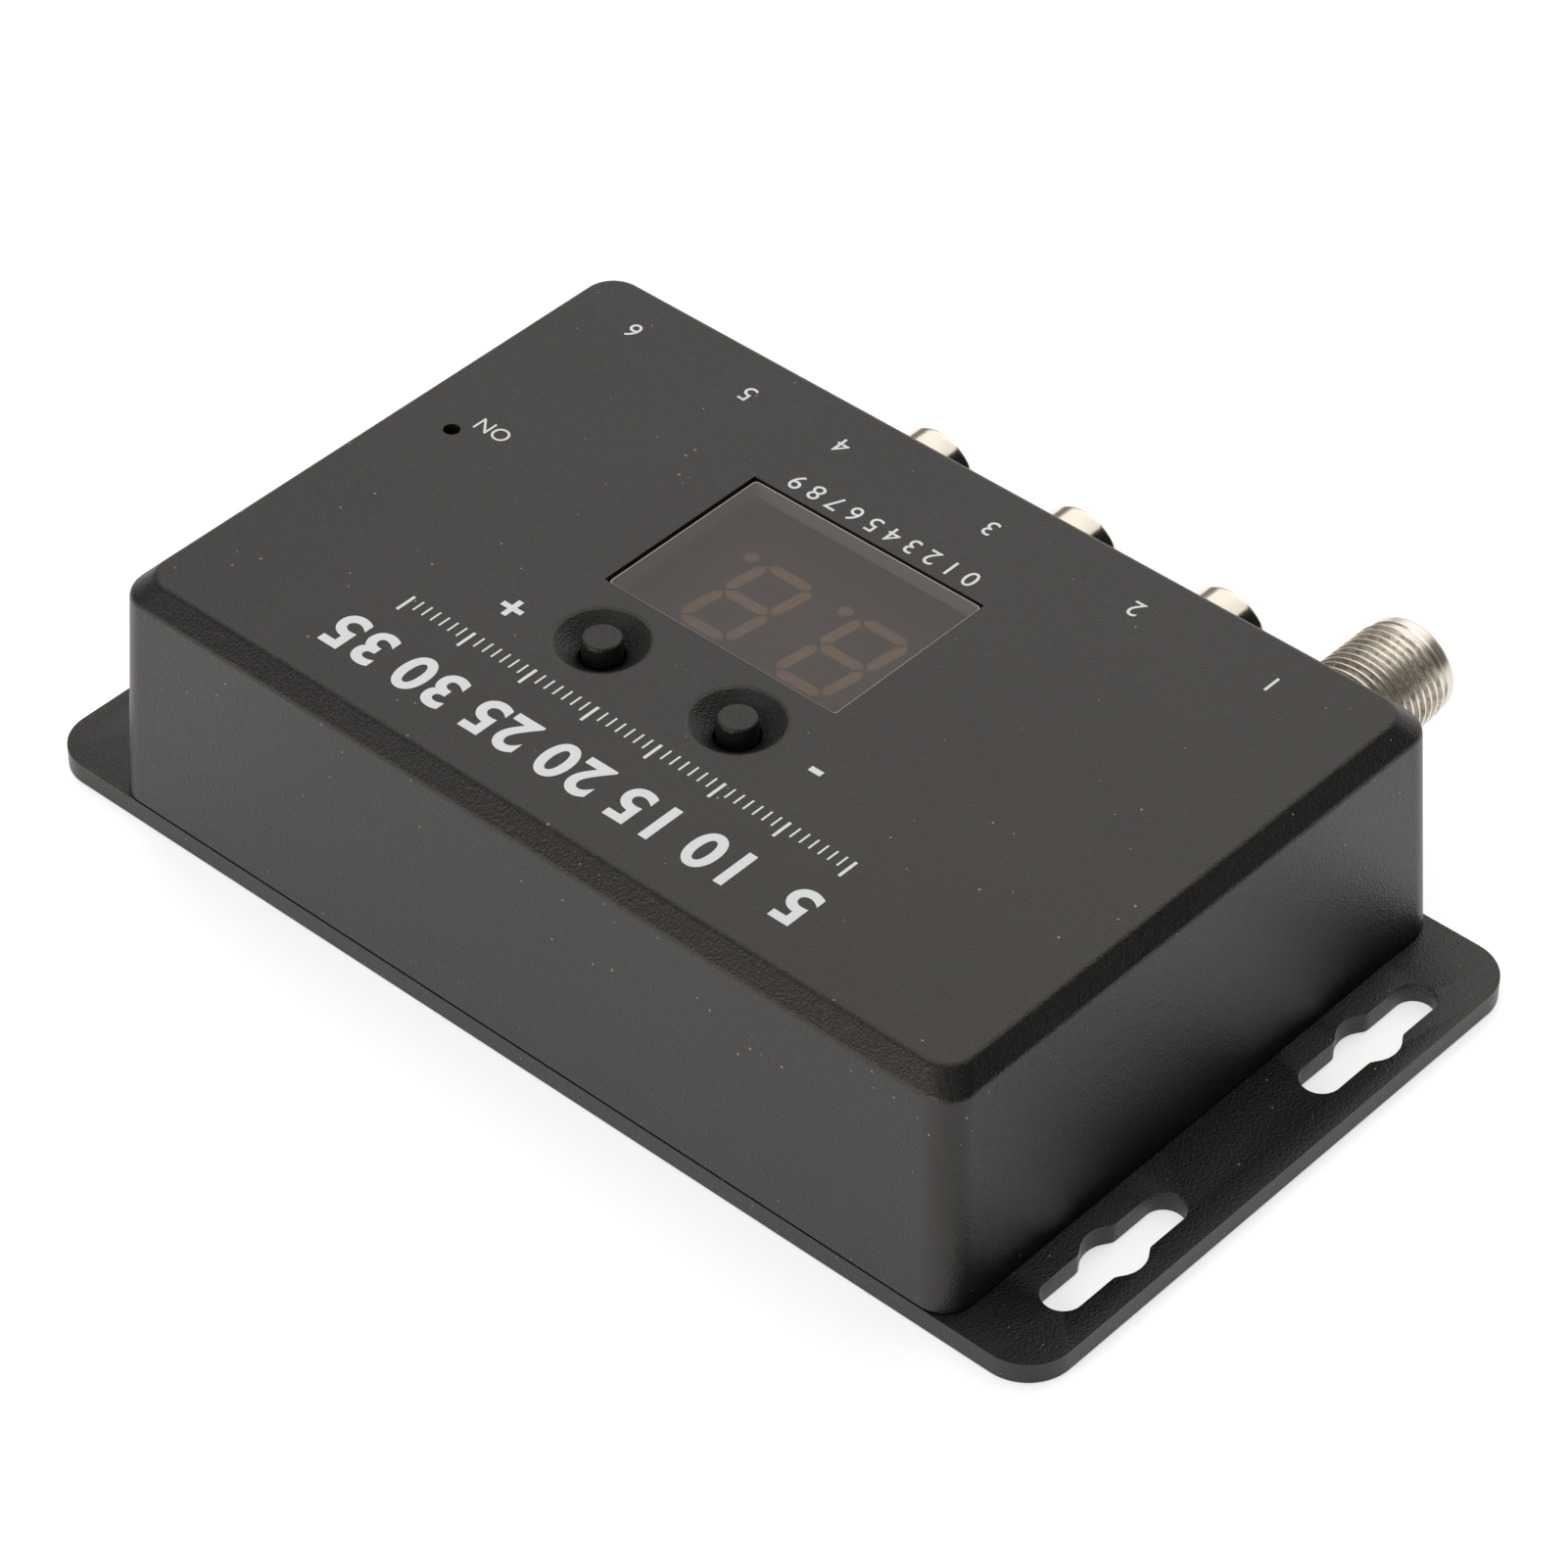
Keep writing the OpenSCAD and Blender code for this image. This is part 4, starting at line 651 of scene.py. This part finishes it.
# Thread colour: the crests carry a painted highlight, a pale colour, and are also smoother; the grooves
# between them carry a darker painted shade, broken up by random dashes.
thread_nickel, tree, wire = new_finish("thread nickel")
place = add_node(tree, "ShaderNodeTexCoord")
from_axis = add_node(tree, "ShaderNodeVectorMath", {"operation": "SUBTRACT"})
from_axis.inputs[1].default_value = (aerial_x, 0, socket_z)
across = add_node(tree, "ShaderNodeVectorMath", {"operation": "MULTIPLY"})
across.inputs[1].default_value = (1, 0, 1)
reach = add_node(tree, "ShaderNodeVectorMath", {"operation": "LENGTH"})
crest_highlight_and_polish = add_node(tree, "ShaderNodeMapRange", From_Min=0.00456, From_Max=0.00470)
dashes = add_node(tree, "ShaderNodeTexNoise", Scale=1500.0, Detail=3.0, Roughness=0.7)
painted_groove_shade = add_node(tree, "ShaderNodeMix", {"data_type": "RGBA"},
                  A=(0.42, 0.345, 0.26, 1), B=(0.84, 0.76, 0.64, 1))
spread = add_node(tree, "ShaderNodeMapRange", From_Min=0.36, From_Max=0.56)
shade = add_node(tree, "ShaderNodeMix", {"data_type": "RGBA"}, B=(0.95, 0.90, 0.81, 1))
polish = add_node(tree, "ShaderNodeMapRange", To_Min=0.44, To_Max=0.18)
bump = add_node(tree, "ShaderNodeBump", Strength=1.0, Distance=0.000008)
body = add_node(tree, "ShaderNodeBsdfPrincipled", Metallic=0.78)
wire(place.outputs["Object"], from_axis.inputs[0])
wire(from_axis.outputs[0], across.inputs[0])
wire(across.outputs[0], reach.inputs[0])
wire(reach.outputs["Value"], crest_highlight_and_polish.inputs["Value"])
wire(place.outputs["Object"], dashes.inputs["Vector"])
wire(dashes.outputs["Fac"], spread.inputs["Value"])
wire(spread.outputs["Result"], painted_groove_shade.inputs["Factor"])
wire(painted_groove_shade.outputs["Result"], shade.inputs["A"])
wire(crest_highlight_and_polish.outputs["Result"], shade.inputs["Factor"])
wire(crest_highlight_and_polish.outputs["Result"], polish.inputs["Value"])
wire(shade.outputs["Result"], body.inputs["Base Color"])
wire(polish.outputs["Result"], body.inputs["Roughness"])
wire(dashes.outputs["Fac"], bump.inputs["Height"])
wire(bump.outputs["Normal"], body.inputs["Normal"])
wire(body.outputs[0], tree.nodes["Material Output"].inputs["Surface"])

# The thread is one ridge wound round the barrel: a screw modifier turns its section,
# its ends are closed, and its first and last half turns sink into the barrel. A point of
# the section has its place along the pitch, as a share of it, and its height.
section = [(-0.42, -0.00005), (-0.09, 0.00034), (-0.035, 0.000381)]
section += [(0.035, 0.000381), (0.09, 0.00034), (0.42, -0.00005)]
turn_steps, sink = 96, 0.00006
bpy.ops.object.select_all(action="DESELECT")
bpy.ops.mesh.primitive_circle_add(vertices=len(section), radius=0.001)
ridge = bpy.context.object
ridge.name = "aerial_thread"
for point, (along, out) in zip(ridge.data.vertices, section):
    point.co = (core_radius + out, 0, along * aerial_pitch)
wind = ridge.modifiers.new("wind", "SCREW")
wind.screw_offset = aerial_pitch
wind.iterations = aerial_turns - 1
wind.steps = wind.render_steps = turn_steps
bpy.ops.object.modifier_apply(modifier=wind.name)
last_step = turn_steps * (aerial_turns - 1)
for index, point in enumerate(ridge.data.vertices):
    step = index // len(section)
    fade = min(1.0, step / (turn_steps / 2), (last_step - step) / (turn_steps / 2))
    radius = math.hypot(point.co.x, point.co.y)
    sunk = (core_radius - sink + (radius - core_radius + sink) * fade) / radius
    point.co.x *= sunk
    point.co.y *= sunk
bpy.ops.object.mode_set(mode="EDIT")
bpy.ops.mesh.select_all(action="SELECT")
bpy.ops.mesh.fill_holes(sides=len(section))
bpy.ops.mesh.select_all(action="SELECT")
bpy.ops.mesh.normals_make_consistent(inside=False)
bpy.ops.object.mode_set(mode="OBJECT")
ridge.rotation_euler = (math.pi / 2, 0, 0)
ridge.location = (aerial_x, face_y - thread_end + (aerial_turns - 0.5) * aerial_pitch, socket_z)
bpy.ops.object.transform_apply(location=True, rotation=True, scale=True)
smooth(ridge, 50)
fit(ridge, thread_nickel, "case", "nickel_plate")
white_insulator = plastic("white insulator", (0.72, 0.7, 0.64), (0.8, 0.78, 0.72), 2600, 0.000006, 0.45)
finish_nodes(white_insulator, "aerial_socket_insulator")
finish_nodes(gold, "aerial_socket_contact")


# Repeater jack and power inlet: a black moulding with a round nose, and a folded steel
# shell round a black tongue with five contacts.
finish_nodes(moulding, "repeater_jack_body", "power_inlet_tongue")
finish_nodes(tin, "power_inlet_shell")
finish_nodes(gold, "power_inlet_contacts")


# Power light: a bulb of clear resin under its pinhole. It stands on tinned legs, with a
# white spacer tube round them.
clear_resin = plastic("clear resin", (0.42, 0.5, 0.45), (0.5, 0.58, 0.52), 1500, 0.000003, 0.15)
white_spacer = plastic("white spacer", (0.6, 0.59, 0.56), (0.68, 0.67, 0.64), 3000, 0.000008, 0.5)
finish_nodes(clear_resin, "power_led")
finish_nodes(white_spacer, "led_spacer")


# Display: a black module whose face is pierced by milky light pipes, seven bars and a
# point for each of its two numerals. It is switched off.
display_face = plastic("display face", (0.050, 0.036, 0.028), (0.060, 0.044, 0.034), 4200, 0.000006, 0.55)
light_pipe = plastic("light pipe resin", (0.58, 0.33, 0.16), (0.64, 0.37, 0.18), 1800, 0.000004, 0.4)
finish_nodes(display_face, "display_module")
finish_nodes(light_pipe, "display_segments")


# Window pane: smoked brown acrylic, set flush in the roof with a hair-fine gap round it
# and a flange behind the roof. Its middle is thin, and its polished upper edge carries
# a painted highlight: a pale ring.
pane_low, pane_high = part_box("display_window")
gap_left, gap_right, gap_front, gap_back = 0.00007, 0.00032, 0.00018, 0.00007
pane_left, pane_right = window_left + gap_left, window_right - gap_right
pane_front, pane_back = window_front + gap_front, window_back - gap_back
pane_skin, pane_band, pane_line = 0.0009, 0.0013, 0.00011
pane_corner, edge_corner, pocket_corner = 0.00036, 0.00045, 0.0005
edge_foot, edge_ease = 0.0002, 0.00004


def round_block(name, low, high, corner):
    """A box with its four upright edges rounded."""
    shape = block(name, low, high)
    bpy.ops.object.mode_set(mode="EDIT")
    pick("EDGE", upright)
    bpy.ops.mesh.bevel(offset=corner, segments=8, affect="EDGES")
    bpy.ops.object.mode_set(mode="OBJECT")
    return shape


pane = round_block("window_pane", (pane_left + pane_line, pane_front + pane_line, pane_low.z),
                   (pane_right - pane_line, pane_back - pane_line, pane_high.z - 2 * hair), pane_corner)
use(pane, block("flange", pane_low, (pane_high.x, pane_high.y, ceiling_z - hair)), "UNION")
use(pane, round_block("pocket", (pane_left + pane_band, pane_front + pane_band, pane_low.z - overrun),
                      (pane_right - pane_band, pane_back - pane_band, pane_high.z - pane_skin),
                      pocket_corner))
smooth(pane, 40)
# The pane's edge: a thin pale ring, a painted highlight where the polished edge catches the light.
rim = round_block("pane_edge", (pane_left, pane_front, ceiling_z + edge_foot),
                  (pane_right, pane_back, pane_high.z), edge_corner)
use(rim, round_block("inside", (pane_left + pane_line, pane_front + pane_line, ceiling_z - overrun),
                     (pane_right - pane_line, pane_back - pane_line, pane_high.z + overrun), pane_corner))
ease_edges(rim, edge_ease, 3, 40)
painted_edge_highlight = plastic("painted edge highlight", (0.46, 0.42, 0.38), (0.56, 0.51, 0.47), 2400, 0.000004, 0.2)
fit(rim, painted_edge_highlight, "case", "smoked_window")

# Seen directly, the acrylic hides most of what is behind it, by its outer faces only. To
# light and to reflections it is a faintly tinted clear pane.
smoke, tree, wire = new_finish("smoked acrylic")
opacity = 0.83
place = add_node(tree, "ShaderNodeTexCoord")
ripple = add_node(tree, "ShaderNodeTexNoise", Scale=90.0, Detail=1.0)
tone = add_node(tree, "ShaderNodeMix", {"data_type": "RGBA"},
                A=(0.021, 0.0085, 0.0030, 1), B=(0.026, 0.0105, 0.0040, 1))
bump = add_node(tree, "ShaderNodeBump", Strength=0.3, Distance=0.000004)
body = add_node(tree, "ShaderNodeBsdfPrincipled", Roughness=0.3, IOR=1.55, Specular_IOR_Level=0.56)
outer = add_node(tree, "ShaderNodeNewGeometry")
smoke_depth = add_node(tree, "ShaderNodeMath", {"operation": "MULTIPLY_ADD"})
smoke_depth.inputs[1].default_value = -opacity
smoke_depth.inputs[2].default_value = opacity
clear = add_node(tree, "ShaderNodeBsdfTransparent", Color=(0.95, 0.94, 0.93, 1))
ray = add_node(tree, "ShaderNodeLightPath")
dim_ray = add_node(tree, "ShaderNodeMath", {"operation": "MAXIMUM"})
any_ray = add_node(tree, "ShaderNodeMath", {"operation": "MAXIMUM"})
either = add_node(tree, "ShaderNodeMixShader")
wire(place.outputs["Object"], ripple.inputs["Vector"])
wire(ripple.outputs["Fac"], tone.inputs["Factor"])
wire(tone.outputs["Result"], body.inputs["Base Color"])
wire(ripple.outputs["Fac"], bump.inputs["Height"])
wire(bump.outputs["Normal"], body.inputs["Normal"])
wire(outer.outputs["Backfacing"], smoke_depth.inputs[0])
wire(smoke_depth.outputs[0], body.inputs["Alpha"])
wire(ray.outputs["Is Shadow Ray"], dim_ray.inputs[0])
wire(ray.outputs["Is Diffuse Ray"], dim_ray.inputs[1])
wire(dim_ray.outputs[0], any_ray.inputs[0])
wire(ray.outputs["Is Glossy Ray"], any_ray.inputs[1])
wire(any_ray.outputs[0], either.inputs[0])
wire(body.outputs[0], either.inputs[1])
wire(clear.outputs[0], either.inputs[2])
wire(either.outputs[0], tree.nodes["Material Output"].inputs["Surface"])
fit(pane, smoke, "case", "smoked_window", "display_window")


# Buttons: the long black stems of the two push switches, with a flat, round-edged top
# that just stands out of the dish, and a foot inside the switch's black housing.
button_finish = plastic("black button plastic", (0.0110, 0.0100, 0.0092), (0.0150, 0.0135, 0.0122),
                        3600, 0.0001, 0.38, gloss=0.42, sheen=warm_sheen)
stem_radius, foot_radius, foot_low, foot_high, foot_ease = 0.00175, 0.0022, 0.00031, 0.00111, 0.00004
nib_radius, top_soft, top_flat, top_middle = 0.0008, 0.0003, 0.0012, 0.0005
for name, node, body_name, x in (("channel_up_stem", "channel_up_button", "up_button", button_x[0]),
                                 ("channel_down_stem", "channel_down_button", "down_button", button_x[1])):
    low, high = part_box(node)
    stem_rings = [(nib_radius, low.z), (nib_radius, low.z + foot_low)]
    stem_rings += [(foot_radius - foot_ease, low.z + foot_low), (foot_radius, low.z + foot_low + foot_ease)]
    stem_rings += [(foot_radius, low.z + foot_high - foot_ease), (foot_radius - foot_ease, low.z + foot_high)]
    stem_rings += [(stem_radius, low.z + foot_high), (stem_radius, high.z - 1.2 * top_soft)]
    stem_rings += rounded_end(stem_radius, high.z, top_soft, 5)
    stem_rings += [(top_flat, high.z), (top_middle, high.z - 2 * hair)]
    stem = turned(name, (x, button_y, 0), stem_rings, 72)
    smooth(stem, 40)
    fit(stem, button_finish, body_name, "button_black", node)
finish_nodes(moulding, "switch_housings")


# Print on the roof: thin white ink, pad-printed, with a tuning scale, plain numbers at
# the connectors and by the window, and signs at the buttons and the light.
ink, tree, wire = new_finish("white ink")
place = add_node(tree, "ShaderNodeTexCoord")
wear = add_node(tree, "ShaderNodeTexNoise", Scale=2600.0, Detail=3.0)
tone = add_node(tree, "ShaderNodeMix", {"data_type": "RGBA"},
                A=(0.87, 0.89, 0.91, 1), B=(0.95, 0.96, 0.97, 1))
bump = add_node(tree, "ShaderNodeBump", Strength=0.5, Distance=0.000008)
body = add_node(tree, "ShaderNodeBsdfPrincipled", Roughness=0.5)
wire(place.outputs["Object"], wear.inputs["Vector"])
wire(wear.outputs["Fac"], tone.inputs["Factor"])
wire(tone.outputs["Result"], body.inputs["Base Color"])
wire(wear.outputs["Fac"], bump.inputs["Height"])
wire(bump.outputs["Normal"], body.inputs["Normal"])
wire(body.outputs[0], tree.nodes["Material Output"].inputs["Surface"])

print_z, ink_depth = case_top_z + 0.000006, 0.000004
numeral_share = 0.7


def printed(name, words, x, y, height, weight=0.0, spread=1.0):
    """Numbers or signs, centred on a place, with a given height for a numeral."""
    bpy.ops.object.select_all(action="DESELECT")
    bpy.ops.object.text_add(location=(0, 0, 0))
    mark = bpy.context.object
    mark.name = name
    mark.data.body = words
    mark.data.align_x = "CENTER"
    mark.data.align_y = "CENTER"
    mark.data.size = height / numeral_share
    mark.data.offset = weight
    mark.data.space_character = spread
    mark.data.extrude = ink_depth
    bpy.ops.object.convert(target="MESH")
    mark = bpy.context.object
    mark.location = (x, y, print_z)
    bpy.ops.object.transform_apply(location=True, rotation=True, scale=True)
    fit(mark, ink, "case", "case_black")


scale_x, scale_y, scale_pitch, scale_height = -0.0228, 0.0216, 0.0079, 0.0041
for index, number in enumerate(("5", "10", "15", "20", "25", "30", "35")):
    printed("scale_number_" + number, number, scale_x + index * scale_pitch, scale_y, scale_height,
            weight=0.00016, spread=1.1)
port_y, small_height = -0.0232, 0.0019
for index, x in enumerate((-0.0335, -0.0194, -0.0039, 0.0125, 0.0232, 0.0365)):
    number = str(index + 1)
    printed("port_number_" + number, number, x, port_y, small_height)
sign_height, sign_weight = 0.0030, 0.0001
printed("down_sign", "-", -0.0135, 0.0095, sign_height, sign_weight)
printed("up_sign", "+", 0.0182, 0.0105, sign_height, sign_weight)
printed("display_numbers", "0 1 2 3 4 5 6 7 8 9", 0.0025, -0.0171, small_height)
printed("light_sign", "ON", 0.0357, -0.0051, 0.0016)

bpy.ops.object.select_all(action="DESELECT")
tick_x, tick_y, tick_pitch = -0.0231, 0.0150, 0.00098
for tick in range(50):
    width, length = (0.0003, 0.0021) if tick % 7 == 0 else (0.00018, 0.0013)
    left = tick_x + tick * tick_pitch
    mark = block("tick", (left, tick_y, print_z - ink_depth),
                 (left + width, tick_y + length, print_z + ink_depth))
    if tick == 0:
        ticks = mark
        ticks.name = "tuning_ticks"
    else:
        mark.select_set(True)
        ticks.select_set(True)
        bpy.context.view_layer.objects.active = ticks
        bpy.ops.object.join()
fit(ticks, ink, "case", "case_black")
